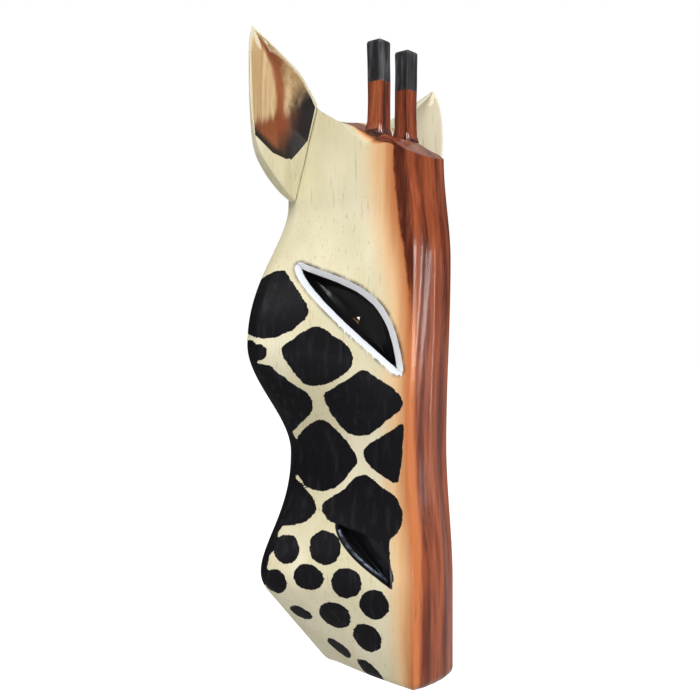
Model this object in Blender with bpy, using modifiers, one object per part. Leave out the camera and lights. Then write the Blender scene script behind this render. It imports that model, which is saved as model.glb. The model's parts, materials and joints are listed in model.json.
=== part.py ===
"""Carved giraffe wall mask.

One block of light wood is carved to the face and hollowed from the back. Each eye is a deep socket with a
small slit through to the hollow. The ears are separate pieces on hidden dowels, the horns stand in sockets in
the crown, and a strap with a swinging ring hangs the mask on a wall.

Metres, +Z up. The flat back lies in the plane Y = 0 and the face looks towards -Y. The origin is the hook
point: the spot in the back plane where a nail in the wall carries the ring. The face is symmetric about X = 0,
so most shapes are written for X >= 0 and mirrored.
"""

import math

import bmesh
import bpy
from mathutils import Matrix, Vector

# ---- Driving dimensions of the face (heights are measured from the hook point) ----

CROWN_BACK_HEIGHT = 0.040  # top of the head at the back plane
FOREHEAD_HEIGHT = -0.037  # where the forehead starts to widen into the cheeks
EYE_HEIGHT = -0.146  # widest part of the face
WAIST_HEIGHT = -0.230  # narrow part between the eyes and the muzzle
MUZZLE_HEIGHT = -0.318  # widest part of the muzzle
CHIN_HEIGHT = -0.405  # underside of the chin

CROWN_HALF_WIDTH = 0.051
FOREHEAD_HALF_WIDTH = 0.055
EYE_HALF_WIDTH = 0.0995
WAIST_HALF_WIDTH = 0.0523
MUZZLE_HALF_WIDTH = 0.0855
CHIN_HALF_WIDTH = 0.008
CHIN_SLOPE = 0.983  # how fast the muzzle narrows to the chin, width over height
CHIN_BLEND = 0.008  # length over which the muzzle's side turns into that slope
CHIN_ROUNDING = 0.008  # radius under the chin

RIDGE_HALF_WIDTH = 0.026  # the flat nose ridge, from forehead to chin
RIDGE_CROWN = 0.0035  # how far its middle stands in front of its edges
RIDGE_EDGE_ROUNDING = 0.003
BROW_HEIGHT = 0.0  # top front edge of the ridge
BROW_DEPTH = 0.0925  # depth of the ridge's edges, from the back plane, at four heights
BRIDGE_HEIGHT = -0.080
BRIDGE_DEPTH = 0.099
NOSE_HEIGHT = -0.224
NOSE_DEPTH = 0.095
LIP_HEIGHT = -0.330
LIP_DEPTH = 0.101

RIM_THICKNESS = 0.008  # the side wall that runs round the face
RIM_ROUNDING = 0.0015
CHEEK_BULGE = 0.002

CROWN_SLOPE = math.radians(19.5)  # the crown falls forward from the back plane
CROWN_BREAK_DEPTH = 0.072  # where it turns down to the brow
CROWN_SIDE_DROP = 0.011  # hollow cut between the horn and the ear
CROWN_SIDE_DEPTH = 0.063
CROWN_SIDE_START = 0.004  # the dip starts this far inside the horn's outer face
CROWN_SIDE_WIDTH = 0.014  # and is full this much further out
CROWN_SIDE_SPAN = 0.024
EAR_ROOT_TOP = 0.046  # the crown rises outwards to this height where the ears join it, at the back plane
EAR_ROOT_FALL = 0.26  # and this joint falls forward, height over depth
EAR_ROOT_RISE_WIDTH = 0.009
EAR_ROOT_RISE_DEPTH = 0.028  # behind this depth the rise starts near the middle, in front of it near the ear

# ---- Hollow, eyes and nostrils ----

WALL = 0.016  # wood left between the cheek and the hollow
RIDGE_WALL = 0.020  # wood left behind the nose ridge
TOP_WALL = 0.0075  # wood left between the hanger's recess and the hollow
CHIN_WALL = 0.053  # wood left between the hollow and the chin
HOLLOW_END_SHAPE = 4.0  # higher is a squarer end

EYE_LENGTH = 0.119  # corner to corner along the cheek
EYE_ANGLE = math.radians(45.3)  # the eye falls towards the nose
EYE_CORNER_ACROSS = 0.088  # outer corner: distance from the ridge's edge along the cheek
EYE_CORNER_HEIGHT = -0.084
EYE_UPPER_RISE = 0.0245  # height of the upper lid over the line between the corners
EYE_LOWER_DROP = 0.0090
EYE_BEVEL = 0.0045  # the white bevel round the socket
EYE_SOCKET_DEPTH = 0.0115
EYE_SLIT_LENGTH = 0.010  # a small cut at the bottom of the socket, through to the hollow
EYE_SLIT_WIDTH = 0.0055
EYE_SLIT_PLACE = 0.50  # how far along the eye it is

NOSTRIL_LENGTH = 0.0635
NOSTRIL_ANGLE = math.radians(49.8)
NOSTRIL_CORNER_ACROSS = 0.057
NOSTRIL_CORNER_HEIGHT = -0.2795
NOSTRIL_UPPER_RISE = 0.015
NOSTRIL_LOWER_DROP = 0.007
NOSTRIL_DEPTH = 0.009

# ---- Ears ----

CLEARANCE = 0.0003  # gap between pieces that touch
SEAT_HALF_WIDTH = 0.0534  # the ear's joint with the head, at SEAT_HEIGHT
SEAT_HEIGHT = -0.009
SEAT_LEAN = math.radians(6.0)
EAR_REACH = 0.0675  # from the joint to the outermost edge
EAR_LENGTH = 0.119  # from the lowest point of the root to the tip
EAR_ROOT_HEIGHT = -0.0345
EAR_FRONT_DEPTH = 0.026  # the ear's front edge at the top of the joint
EAR_BACK_DEPTH = 0.003  # the ear's back stands this far in front of the back plane
EAR_SCOOP_DEPTH = 0.012
EAR_RIM = 0.0022
DOWEL_RADIUS = 0.003
DOWEL_LENGTH = 0.026
DOWEL_DEPTH = 0.0090
DOWEL_HEIGHT = 0.012

# ---- Horns ----

HORN_SPACING = 0.035
HORN_DEPTH = 0.0615
HORN_TOP = 0.0885
HORN_SIDE = 0.0143
HORN_FOOT_SIDE = 0.0175
HORN_FOOT_HEIGHT = 0.008
HORN_EDGE = 0.0025
HORN_TIP_ROUNDING = 0.0015
SEAT_SINK = 0.0012  # the horn's seat is filed this far into the crown
TENON_RADIUS = 0.0048
TENON_LENGTH = 0.020

# ---- Hanger ----

RECESS_DEPTH = 0.009
RECESS_WIDTH = 0.034
RECESS_MARGIN = 0.008
RING_WIRE = 0.0010  # radius of the ring's wire
RING_WIDTH = 0.026
RING_HEIGHT = 0.018
RING_CORNER = 0.0022
RING_APEX = 0.0045
RING_TOP_GAP = 0.0003
STRAP_WIDTH = 0.012
STRAP_LENGTH = 0.031
STRAP_THICKNESS = 0.0016
FOLD_WALL = 0.0008
SCREW_SHANK = 0.0015
SCREW_LENGTH = 0.014
SCREW_HEAD = 0.0030
SCREW_HEAD_HEIGHT = 0.0015
SCREW_POINT = 0.003
SLOT_WIDTH = 0.0008
SLOT_DEPTH = 0.0007
SCREW_PLACES = {  # distance below the ring's axis
    "hanger_screw_upper": 3.5 * SCREW_HEAD,
    "hanger_screw_lower": STRAP_LENGTH - 2 * SCREW_HEAD,
}

# ---- Fineness of the lofted surfaces ----

ROW_STEP = 0.0125
CHEEK_STEPS = 8
CROWN_ROWS = 4
CAP_FRACTIONS = (0.0, 0.3, 0.55, 0.78, 0.9)


def clear_scene():
    for obj in list(bpy.data.objects):
        bpy.data.objects.remove(obj, do_unlink=True)


def new_collection(name):
    made = bpy.data.collections.new(name)
    bpy.context.scene.collection.children.link(made)
    return made


def new_material(name, colour, roughness, metallic=0.0):
    made = bpy.data.materials.new(name)
    made.use_nodes = True
    shader = made.node_tree.nodes["Principled BSDF"]
    shader.inputs["Base Color"].default_value = (*colour, 1.0)
    shader.inputs["Roughness"].default_value = roughness
    shader.inputs["Metallic"].default_value = metallic
    made.diffuse_color = (*colour, 1.0)
    return made


def add_mesh(name, points, faces, collection, material=None):
    """An object from points and faces, with its normals made to point outwards."""
    mesh = bpy.data.meshes.new(name)
    mesh.from_pydata([tuple(p) for p in points], [], faces)
    shape = bmesh.new()
    shape.from_mesh(mesh)
    bmesh.ops.remove_doubles(shape, verts=shape.verts, dist=1e-7)
    bmesh.ops.recalc_face_normals(shape, faces=shape.faces)
    shape.to_mesh(mesh)
    shape.free()
    obj = bpy.data.objects.new(name, mesh)
    collection.objects.link(obj)
    if material:
        mesh.materials.append(material)
    return obj


def add_loft(name, rings, collection, material=None):
    """A closed solid through rings of equal length, with flat ends."""
    count = len(rings[0])
    points = [p for ring in rings for p in ring]
    faces = []
    for row in range(len(rings) - 1):
        for i in range(count):
            j = (i + 1) % count
            below, above = row * count, (row + 1) * count
            faces.append((below + i, below + j, above + j, above + i))
    faces.append(tuple(reversed(range(count))))
    faces.append(tuple(range(len(points) - count, len(points))))
    return add_mesh(name, points, faces, collection, material)


def add_cylinder(name, radius, length, matrix, collection, material=None, sides=24):
    shape = bmesh.new()
    bmesh.ops.create_cone(
        shape, cap_ends=True, segments=sides, radius1=radius, radius2=radius, depth=length, matrix=matrix
    )
    mesh = bpy.data.meshes.new(name)
    shape.to_mesh(mesh)
    shape.free()
    obj = bpy.data.objects.new(name, mesh)
    collection.objects.link(obj)
    if material:
        mesh.materials.append(material)
    return obj


def add_box(name, low, high, collection, material=None):
    shape = bmesh.new()
    bmesh.ops.create_cube(shape, size=1.0)
    low, high = Vector(low), Vector(high)
    size, middle = high - low, (high + low) / 2
    bmesh.ops.scale(shape, vec=size, verts=shape.verts)
    bmesh.ops.translate(shape, vec=middle, verts=shape.verts)
    mesh = bpy.data.meshes.new(name)
    shape.to_mesh(mesh)
    shape.free()
    obj = bpy.data.objects.new(name, mesh)
    collection.objects.link(obj)
    if material:
        mesh.materials.append(material)
    return obj


def as_cutter(obj):
    obj.hide_render = True
    obj.display_type = "WIRE"
    return obj


def join_or_cut(obj, other, operation="DIFFERENCE"):
    boolean = obj.modifiers.new(f"{operation.lower()} {other.name}", "BOOLEAN")
    boolean.operation = operation
    boolean.solver = "EXACT"
    boolean.object = as_cutter(other)


def smooth(t):
    t = min(max(t, 0.0), 1.0)
    return t * t * (3 - 2 * t)


def ease(height, knots):
    """A value that runs level through each knot (height, value, skew), from the top down."""
    for (z0, v0, _), (z1, v1, skew) in zip(knots, knots[1:]):
        if height >= z1:
            t = min(max((z0 - height) / (z0 - z1), 0.0), 1.0)
            return v0 + (v1 - v0) * smooth(t + skew * t * (1 - t))
    return knots[-1][1]


def blend_lower(a, b, width):
    """The smaller of two values, with a round blend where they cross."""
    share = min(max(0.5 + 0.5 * (a - b) / width, 0.0), 1.0)
    return a * (1 - share) + b * share - width * share * (1 - share)


# ---- The face as a set of level sections ----


def half_width(height):
    sides = ease(
        height,
        (
            (CROWN_BACK_HEIGHT, CROWN_HALF_WIDTH, 0.0),
            (FOREHEAD_HEIGHT, FOREHEAD_HALF_WIDTH, 0.0),
            (EYE_HEIGHT, EYE_HALF_WIDTH, 0.3),
            (WAIST_HEIGHT, WAIST_HALF_WIDTH, 0.0),
            (MUZZLE_HEIGHT, MUZZLE_HALF_WIDTH, -0.45),
        ),
    )
    chin = CHIN_HALF_WIDTH + (height - CHIN_HEIGHT) * CHIN_SLOPE
    return blend_lower(sides, chin, CHIN_BLEND)


def edge_depth(height):
    return ease(
        height,
        (
            (BROW_HEIGHT, BROW_DEPTH, 0.0),
            (BRIDGE_HEIGHT, BRIDGE_DEPTH, 0.0),
            (NOSE_HEIGHT, NOSE_DEPTH, 0.0),
            (LIP_HEIGHT, LIP_DEPTH, 0.0),
        ),
    )


def cheek_point(share, height, outwards=0.0):
    """(x, depth) on the cheek, share 0 at the ridge's edge and 1 at the rim, moved off along its normal."""
    width, depth = half_width(height), edge_depth(height)
    along = Vector((width - RIDGE_HALF_WIDTH, RIM_THICKNESS - depth))
    normal = Vector((-along.y, along.x)).normalized()
    lift = CHEEK_BULGE * 4 * share * (1 - share) + outwards
    return Vector((RIDGE_HALF_WIDTH, depth)) + along * share + normal * lift


def cheek_length(height):
    return math.hypot(half_width(height) - RIDGE_HALF_WIDTH, edge_depth(height) - RIM_THICKNESS)


def on_cheek(across, height, outwards=0.0):
    """A point in space, from its distance to the ridge's edge along the cheek, its height and its lift."""
    x, depth = cheek_point(across / cheek_length(height), height, outwards)
    return Vector((x, -depth, height))


def crown_height(x, depth):
    """The top of the head: it falls forward, dips beside the horns and rises to the ears."""
    height = CROWN_BACK_HEIGHT - math.tan(CROWN_SLOPE) * min(depth, CROWN_BREAK_DEPTH)
    if depth > CROWN_BREAK_DEPTH:
        brow_slope = (height - BROW_HEIGHT) / (BROW_DEPTH - CROWN_BREAK_DEPTH)
        height -= brow_slope * (depth - CROWN_BREAK_DEPTH)
    dip = math.cos(min(abs(depth - CROWN_SIDE_DEPTH) / CROWN_SIDE_SPAN, 1.0) * math.pi / 2) ** 2
    dip_start = (HORN_SPACING + HORN_SIDE) / 2 - CROWN_SIDE_START
    height -= CROWN_SIDE_DROP * dip * smooth((x - dip_start) / CROWN_SIDE_WIDTH)
    start = (CROWN_HALF_WIDTH - EAR_ROOT_RISE_WIDTH) * smooth(depth / EAR_ROOT_RISE_DEPTH)
    rise = smooth((x - start) / (CROWN_HALF_WIDTH - start))
    root = EAR_ROOT_TOP - EAR_ROOT_FALL * depth
    return height + max(root - height, 0.0) * rise


def section(height):
    """Half of a level section as (x, depth), from the middle of the back round to the middle of the ridge."""
    width, depth = half_width(height), edge_depth(height)
    corner = width - RIM_ROUNDING
    points = [Vector((corner * share, 0.0)) for share in CAP_FRACTIONS]
    points.append(Vector((corner, 0.0)))
    points.append(Vector((width, RIM_ROUNDING)))
    points.append(Vector((width, RIM_THICKNESS - RIM_ROUNDING)))
    edge_share = RIDGE_EDGE_ROUNDING / cheek_length(height)
    for step in range(CHEEK_STEPS + 1):
        share = 1 - edge_share - (1 - 2 * edge_share) * step / CHEEK_STEPS
        points.append(cheek_point(share, height))
    crown = depth + RIDGE_CROWN
    points.append(Vector((RIDGE_HALF_WIDTH - 0.0004, depth + 0.0002)))
    points.append(Vector((RIDGE_HALF_WIDTH - RIDGE_EDGE_ROUNDING, depth + 0.3 * RIDGE_CROWN)))
    points.append(Vector((RIDGE_HALF_WIDTH * 0.5, depth + 0.8 * RIDGE_CROWN)))
    points.append(Vector((0.0, crown)))
    return points


def chin_inset(height):
    """How far the section draws in where the chin is rounded under."""
    above = min(height - CHIN_HEIGHT, CHIN_ROUNDING)
    return CHIN_ROUNDING - math.sqrt(CHIN_ROUNDING**2 - (CHIN_ROUNDING - above) ** 2)


def level_row(height):
    inset = chin_inset(height)
    row = []
    for x, depth in section(height):
        narrowed = max(x - 0.4 * inset * (x > 0), 0.0)
        drawn_in = depth * (1 - inset / (LIP_DEPTH + RIDGE_CROWN))
        row.append(Vector((narrowed, -drawn_in, height)))
    return row


def crown_row(share):
    """A row between the forehead's last level section and the crown, share 1 on the crown itself."""
    row = []
    for column, (x, depth) in enumerate(section(FOREHEAD_HEIGHT)):
        height = crown_height(x, depth)
        for _ in range(3):
            here = FOREHEAD_HEIGHT + (height - FOREHEAD_HEIGHT) * share
            x, depth = section(here)[column]
            height = crown_height(x, depth)
        row.append(Vector((x, -depth, here)))
    return row


def face_rows():
    rows = [level_row(CHIN_HEIGHT + CHIN_ROUNDING * (1 - math.cos(a))) for a in (0.0, 0.45, 0.9, 1.3)]
    start = CHIN_HEIGHT + CHIN_ROUNDING
    steps = math.ceil((FOREHEAD_HEIGHT - start) / ROW_STEP)
    rows += [level_row(start + (FOREHEAD_HEIGHT - start) * step / steps) for step in range(steps + 1)]
    rows += [crown_row((step + 1) / CROWN_ROWS) for step in range(CROWN_ROWS)]
    return rows


def cap_faces(points, row, start, height_of):
    """Faces that close a row of the half: strips between the middle plane and the outline."""
    inner = len(CAP_FRACTIONS)
    strip = [start + i for i in range(inner + 1)]
    faces = []
    last = len(row) - 1
    for column in range(inner + 1, last):
        edge = row[column]
        new_strip = []
        for share in CAP_FRACTIONS:
            x = edge.x * share
            points.append(Vector((x, edge.y, height_of(x, -edge.y))))
            new_strip.append(len(points) - 1)
        new_strip.append(start + column)
        for i in range(inner):
            faces.append((strip[i], strip[i + 1], new_strip[i + 1], new_strip[i]))
        strip = new_strip
    for i in range(inner):
        faces.append((strip[i], strip[i + 1], start + last))
    return faces


def make_face_block(parts, cutters, material):
    rows = face_rows()
    count = len(rows[0])
    points = [p for row in rows for p in row]
    faces = []
    for row in range(len(rows) - 1):
        below, above = row * count, (row + 1) * count
        for i in range(count - 1):
            faces.append((below + i, below + i + 1, above + i + 1, above + i))
    faces += cap_faces(points, rows[0], 0, lambda x, depth: CHIN_HEIGHT)
    faces += cap_faces(points, rows[-1], (len(rows) - 1) * count, crown_height)
    block = add_mesh("face_block", points, faces, parts, material)
    mirror = block.modifiers.new("other half", "MIRROR")
    mirror.merge_threshold = 0.0001
    for cutter in (
        make_hollow(cutters),
        make_eye_cutter(cutters),
        make_eye_slit_cutter(cutters),
        make_nostril_cutter(cutters),
        *[make_ear_seat_cutter(side, cutters) for side in (1, -1)],
        *[make_dowel_hole(side, cutters) for side in (1, -1)],
        *[make_horn_socket(side, cutters) for side in (1, -1)],
        make_recess(cutters),
        *[make_pilot_hole(name, cutters) for name in SCREW_PLACES],
    ):
        join_or_cut(block, cutter)
    return block


def make_hollow(cutters):
    """The trough gouged out from behind. It follows the cheeks and leaves an even wall."""
    rings = []
    top, bottom = recess_bottom() - TOP_WALL, CHIN_HEIGHT + CHIN_WALL
    levels = (0.0, 0.2, 0.35, 0.5, 0.65, 0.8, 0.9, 0.97, 0.995)
    for t in [-level for level in reversed(levels[1:])] + list(levels):
        height = (top + bottom) / 2 + (top - bottom) / 2 * t
        fullness = (1 - abs(t) ** HOLLOW_END_SHAPE) ** (1 / HOLLOW_END_SHAPE)
        near_rim = cheek_point(0.97, height, -WALL)
        near_ridge = cheek_point(0.22, height, -WALL)
        floor = edge_depth(height) - RIDGE_WALL
        half_ring = [
            Vector((near_rim.x * fullness, 0.004)),
            Vector((near_rim.x * fullness, -max(near_rim.y, 0.002) * fullness)),
            Vector((near_ridge.x * fullness, -near_ridge.y * fullness)),
            Vector((near_ridge.x * 0.55 * fullness, -(0.35 * near_ridge.y + 0.65 * floor) * fullness)),
        ]
        ring = [Vector((x, y, height)) for x, y in half_ring]
        ring.append(Vector((0.0, -floor * fullness, height)))
        ring += [Vector((-x, y, height)) for x, y in reversed(half_ring)]
        rings.append(ring)
    return add_loft("hollow_cutter", rings, cutters)


def leaf_outline(length, rise, drop, steps=9):
    """A leaf between two corners: (along, up) for its upper edge and back along its lower edge."""
    shares = [i / steps for i in range(steps + 1)]
    upper = [(length * t, rise * math.sin(math.pi * t**1.15)) for t in shares]
    lower = [(length * t, -drop * math.sin(math.pi * t**0.62)) for t in reversed(shares)]
    return upper + lower[1:]


def grown_outline(outline, amount):
    """The outline moved outwards by an even amount."""
    grown = []
    count = len(outline)
    for i, point in enumerate(outline):
        before, after = Vector(outline[i - 1]), Vector(outline[(i + 1) % count])
        along = (after - before).normalized()
        grown.append(Vector(point) + Vector((-along.y, along.x)) * amount)
    return grown


def leaf_on_cheek(outline, corner, angle, outwards):
    """The outline laid on the cheek, from its outer corner down towards the nose."""
    across, height = corner
    placed = []
    for along, up in outline:
        placed_across = across - along * math.cos(angle) - up * math.sin(angle)
        placed_height = height - along * math.sin(angle) + up * math.cos(angle)
        placed.append(on_cheek(placed_across, placed_height, outwards))
    return placed


def add_both_sides(name, rings, cutters):
    obj = add_loft(name, rings, cutters)
    mirror = obj.modifiers.new("other side", "MIRROR")
    mirror.use_mirror_merge = False
    return obj


def make_eye_cutter(cutters):
    """A dished leaf, wider at the front for the bevel round it."""
    corner = (EYE_CORNER_ACROSS, EYE_CORNER_HEIGHT)
    inner_length = EYE_LENGTH - 2.6 * EYE_BEVEL
    outline = leaf_outline(inner_length, EYE_UPPER_RISE - EYE_BEVEL, EYE_LOWER_DROP - EYE_BEVEL)
    outline = [(along + 1.3 * EYE_BEVEL, up) for along, up in outline]
    middle = EYE_LENGTH / 2
    floor = [(middle + (along - middle) * 0.72, 0.35 * up + 0.0018) for along, up in outline]
    above = 0.004
    rings = [
        leaf_on_cheek(floor, corner, EYE_ANGLE, -EYE_SOCKET_DEPTH),
        leaf_on_cheek(outline, corner, EYE_ANGLE, -EYE_BEVEL),
        leaf_on_cheek(grown_outline(outline, EYE_BEVEL + above), corner, EYE_ANGLE, above),
    ]
    return add_both_sides("eye_cutter", rings, cutters)


def make_eye_slit_cutter(cutters):
    """A three-sided cut from the socket's floor into the hollow."""
    corner = (EYE_CORNER_ACROSS, EYE_CORNER_HEIGHT)
    at = EYE_LENGTH * EYE_SLIT_PLACE
    outline = [(at, 0.0), (at + EYE_SLIT_LENGTH * 0.45, EYE_SLIT_WIDTH), (at + EYE_SLIT_LENGTH, 0.0)]
    rings = [
        leaf_on_cheek(outline, corner, EYE_ANGLE, -2 * WALL),
        leaf_on_cheek(outline, corner, EYE_ANGLE, -EYE_BEVEL),
    ]
    return add_both_sides("eye_slit_cutter", rings, cutters)


def make_nostril_cutter(cutters):
    """A groove with a V section: a long upper slope and a short lower one."""
    corner = (NOSTRIL_CORNER_ACROSS, NOSTRIL_CORNER_HEIGHT)
    outline = leaf_outline(NOSTRIL_LENGTH, NOSTRIL_UPPER_RISE, NOSTRIL_LOWER_DROP)
    above = 0.003
    slope_out = [(along, up * (1 + above / NOSTRIL_DEPTH)) for along, up in outline]
    middle = NOSTRIL_LENGTH / 2
    bottom = [(middle + (along - middle) * 0.75, up * 0.04) for along, up in outline]
    rings = [
        leaf_on_cheek(bottom, corner, NOSTRIL_ANGLE, -NOSTRIL_DEPTH),
        leaf_on_cheek(slope_out, corner, NOSTRIL_ANGLE, above),
    ]
    return add_both_sides("nostril_cutter", rings, cutters)


# ---- Ears ----


def seat_frame(side):
    """The ear's joint plane: its X axis points out of the head, its origin is the seat point."""
    turn = Matrix.Rotation(-side * SEAT_LEAN, 4, "Y")
    if side < 0:
        turn = turn @ Matrix.Rotation(math.pi, 4, "Z")
    return Matrix.Translation((side * SEAT_HALF_WIDTH, 0.0, SEAT_HEIGHT)) @ turn


def seat_x(height):
    return SEAT_HALF_WIDTH - (height - SEAT_HEIGHT) * math.tan(SEAT_LEAN)


def make_ear_seat_cutter(side, cutters):
    """Takes the head's side off along the joint plane."""
    span = 0.2
    box = add_box(f"ear_seat_cutter_{side}", (0, -span, -span), (span, span, span), cutters)
    box.data.transform(seat_frame(side))
    below = (span, span, EAR_ROOT_HEIGHT - CLEARANCE)
    floor = add_box(f"ear_seat_floor_{side}", (-span, -span, -span), below, cutters)
    join_or_cut(box, floor)
    return box


def ear_point(out, up):
    """(x, height) from shares of the ear's reach out of the joint and of its length up from the root."""
    return Vector((SEAT_HALF_WIDTH + out * EAR_REACH, EAR_ROOT_HEIGHT + up * EAR_LENGTH))


def joint_point(share):
    """(x, height) on the joint with the head, share 0 at the root and 1 at the top of the head."""
    joint_top = EAR_ROOT_TOP - EAR_ROOT_FALL * EAR_FRONT_DEPTH
    height = EAR_ROOT_HEIGHT + (joint_top - EAR_ROOT_HEIGHT) * share
    return Vector((seat_x(height), height))


def ear_outline():
    """((x, height), front depth, back depth) round the ear from the joint's top corner outwards."""
    front, back = EAR_FRONT_DEPTH, EAR_BACK_DEPTH
    return [
        (joint_point(1.0), front, back),
        (ear_point(0.13, 0.718), front + 0.002, back + 0.008),
        (ear_point(0.32, 0.798), front + 0.003, back + 0.014),
        (ear_point(0.66, 0.920), front - 0.001, back + 0.0155),
        (ear_point(0.885, 1.0), front - 0.005, back + 0.0135),
        (ear_point(0.97, 0.899), front - 0.002, back + 0.0165),
        (ear_point(1.0, 0.714), front, back + 0.0185),
        (ear_point(0.98, 0.479), front, back + 0.0175),
        (ear_point(0.82, 0.273), front - 0.004, back + 0.011),
        (ear_point(0.57, 0.155), front - 0.008, back + 0.006),
        (ear_point(0.28, 0.055), front - 0.012, back + 0.002),
        (joint_point(0.0), front - 0.0165, back),
        (joint_point(0.345), front - 0.0105, back),
        (joint_point(0.67), front - 0.0055, back),
    ]


def off_the_joint(x, height):
    """Keeps a point of the ear on its own side of the joint plane."""
    return max(x, seat_x(height) + CLEARANCE / math.cos(SEAT_LEAN))


def ear_ring(share, depth_of, side):
    """The outline drawn in towards the ear's middle, at depths worked out from its front and its back."""
    middle = ear_point(0.45, 0.55)
    ring = []
    for edge, front, back in ear_outline():
        at = edge.lerp(middle, share)
        ring.append(Vector((side * off_the_joint(at.x, at.y), -depth_of(front, back), at.y)))
    return ring


def make_ear(side, name, parts, cutters, material):
    middle_depth = EAR_BACK_DEPTH + 0.0035
    rings = [
        ear_ring(0.70, lambda front, back: 0.2 * back + 0.8 * middle_depth, side),
        ear_ring(0.35, lambda front, back: 0.6 * back + 0.4 * middle_depth, side),
        ear_ring(0.04, lambda front, back: back, side),
        ear_ring(0.0, lambda front, back: back + 0.3 * (front - back), side),
        ear_ring(0.0, lambda front, back: front - 0.0008, side),
        ear_ring(0.02, lambda front, back: front, side),
    ]
    ear = add_loft(name, rings, parts, material)
    join_or_cut(ear, make_scoop_cutter(side, cutters))
    join_or_cut(ear, make_dowel_hole(side, cutters, "ear"))
    return ear


def make_scoop_cutter(side, cutters):
    """The hollow of the ear, deepest along a line from its tip to its root."""
    rim, front = EAR_RIM, EAR_FRONT_DEPTH
    edge = [
        (joint_point(1.0) + Vector((1.6, -1.5)) * rim, front),
        (ear_point(0.14, 0.718) - Vector((0.0, 1.3)) * rim, front + 0.002),
        (ear_point(0.33, 0.798) - Vector((0.0, 1.3)) * rim, front + 0.003),
        (ear_point(0.65, 0.920) - Vector((0.0, 1.5)) * rim, front - 0.001),
        (ear_point(0.86, 1.0) - Vector((0.0, 2.0)) * rim, front - 0.005),
        (ear_point(0.97, 0.865) - Vector((1.0, 0.0)) * rim, front - 0.002),
        (ear_point(1.0, 0.714) - Vector((1.0, 0.0)) * rim, front),
        (ear_point(0.98, 0.487) - Vector((1.0, 0.0)) * rim, front),
        (ear_point(0.82, 0.307) - Vector((1.0, 0.0)) * rim, front - 0.004),
        (ear_point(0.55, 0.260), front - 0.0045),
        (ear_point(0.20, 0.256), front - 0.0055),
        (joint_point(0.63) + Vector((1.6, 0.0)) * rim, front - 0.0055),
    ]
    tip_end, root_end = ear_point(0.80, 0.899), ear_point(0.30, 0.445)
    valley = root_end - tip_end
    outer, lip, slope, bottom = [], [], [], []
    for here, depth in edge:
        share = min(max((here - tip_end).dot(valley) / valley.length_squared, 0.0), 1.0)
        low_point = tip_end + valley * share
        deepest = EAR_SCOOP_DEPTH * (0.35 + 0.65 * share)
        for ring, drawn_in, ring_depth in (
            (outer, -0.06, depth + 0.006),
            (lip, 0.0, depth),
            (slope, 0.5, depth - 0.62 * deepest),
            (bottom, 0.86, front - 0.001 - deepest),
        ):
            at = here.lerp(low_point, drawn_in)
            ring.append(Vector((side * at.x, -ring_depth, at.y)))
    return add_loft(f"ear_scoop_cutter_{side}", [bottom, slope, lip, outer], cutters)


def dowel_matrix(side):
    """The dowel lies square to the joint plane and runs half into the head and half into the ear."""
    turn = Matrix.Rotation(math.pi / 2 - side * SEAT_LEAN, 4, "Y")
    return Matrix.Translation((side * seat_x(DOWEL_HEIGHT), -DOWEL_DEPTH, DOWEL_HEIGHT)) @ turn


def make_dowel_hole(side, cutters, piece="head"):
    length = DOWEL_LENGTH + 4 * CLEARANCE
    radius = DOWEL_RADIUS + CLEARANCE
    name = f"dowel_hole_{piece}_{side}"
    return add_cylinder(name, radius, length, dowel_matrix(side), cutters, sides=16)


def make_dowel(side, name, parts, material):
    matrix = dowel_matrix(side)
    dowel = add_cylinder(name, DOWEL_RADIUS, DOWEL_LENGTH, matrix, parts, material, sides=16)
    dowel.data.shade_smooth()
    dowel.data.set_sharp_from_angle(angle=math.radians(40))
    return dowel


# ---- Horns ----


def horn_seat_height(y):
    """The tilted plane that the horn's foot stands on."""
    middle = crown_height(HORN_SPACING / 2, HORN_DEPTH) - SEAT_SINK
    return middle + math.tan(CROWN_SLOPE) * (y + HORN_DEPTH)


def round_ring(side, radius, height_of, count=16):
    ring = []
    for i in range(count):
        angle = 2 * math.pi * (i + 0.5) / count
        x, y = radius * math.cos(angle), radius * math.sin(angle) - HORN_DEPTH
        ring.append(Vector((side * HORN_SPACING / 2 + x, y, height_of(y))))
    return ring


def square_ring(side, width, edge, height_of):
    """A square with rounded corners, as 16 points that pair with round_ring's."""
    ring = []
    half = width / 2 - edge
    for quarter in range(4):
        corner_x = half if quarter in (0, 3) else -half
        corner_y = half if quarter in (0, 1) else -half
        for i in range(4):
            angle = math.pi / 2 * (quarter + i / 3)
            x = corner_x + edge * math.cos(angle)
            y = corner_y + edge * math.sin(angle) - HORN_DEPTH
            ring.append(Vector((side * HORN_SPACING / 2 + x, y, height_of(y))))
    return ring


def make_horn(side, name, parts, material):
    tenon_end = horn_seat_height(-HORN_DEPTH) - TENON_LENGTH
    foot_top = horn_seat_height(-HORN_DEPTH) + HORN_FOOT_HEIGHT
    mid_foot_side = (HORN_FOOT_SIDE + HORN_SIDE) / 2
    tip_side = HORN_SIDE - 2 * HORN_TIP_ROUNDING
    rings = [
        round_ring(side, TENON_RADIUS, lambda y: tenon_end),
        round_ring(side, TENON_RADIUS, horn_seat_height),
        square_ring(side, HORN_FOOT_SIDE, HORN_EDGE, horn_seat_height),
        square_ring(side, HORN_FOOT_SIDE, HORN_EDGE, lambda y: horn_seat_height(y) + 0.0015),
        square_ring(side, mid_foot_side, HORN_EDGE, lambda y: horn_seat_height(y) + 0.0045),
        square_ring(side, HORN_SIDE, HORN_EDGE, lambda y: foot_top),
        square_ring(side, HORN_SIDE, HORN_EDGE, lambda y: HORN_TOP - HORN_TIP_ROUNDING),
        square_ring(side, tip_side, HORN_EDGE / 2, lambda y: HORN_TOP),
    ]
    return add_loft(name, rings, parts, material)


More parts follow.
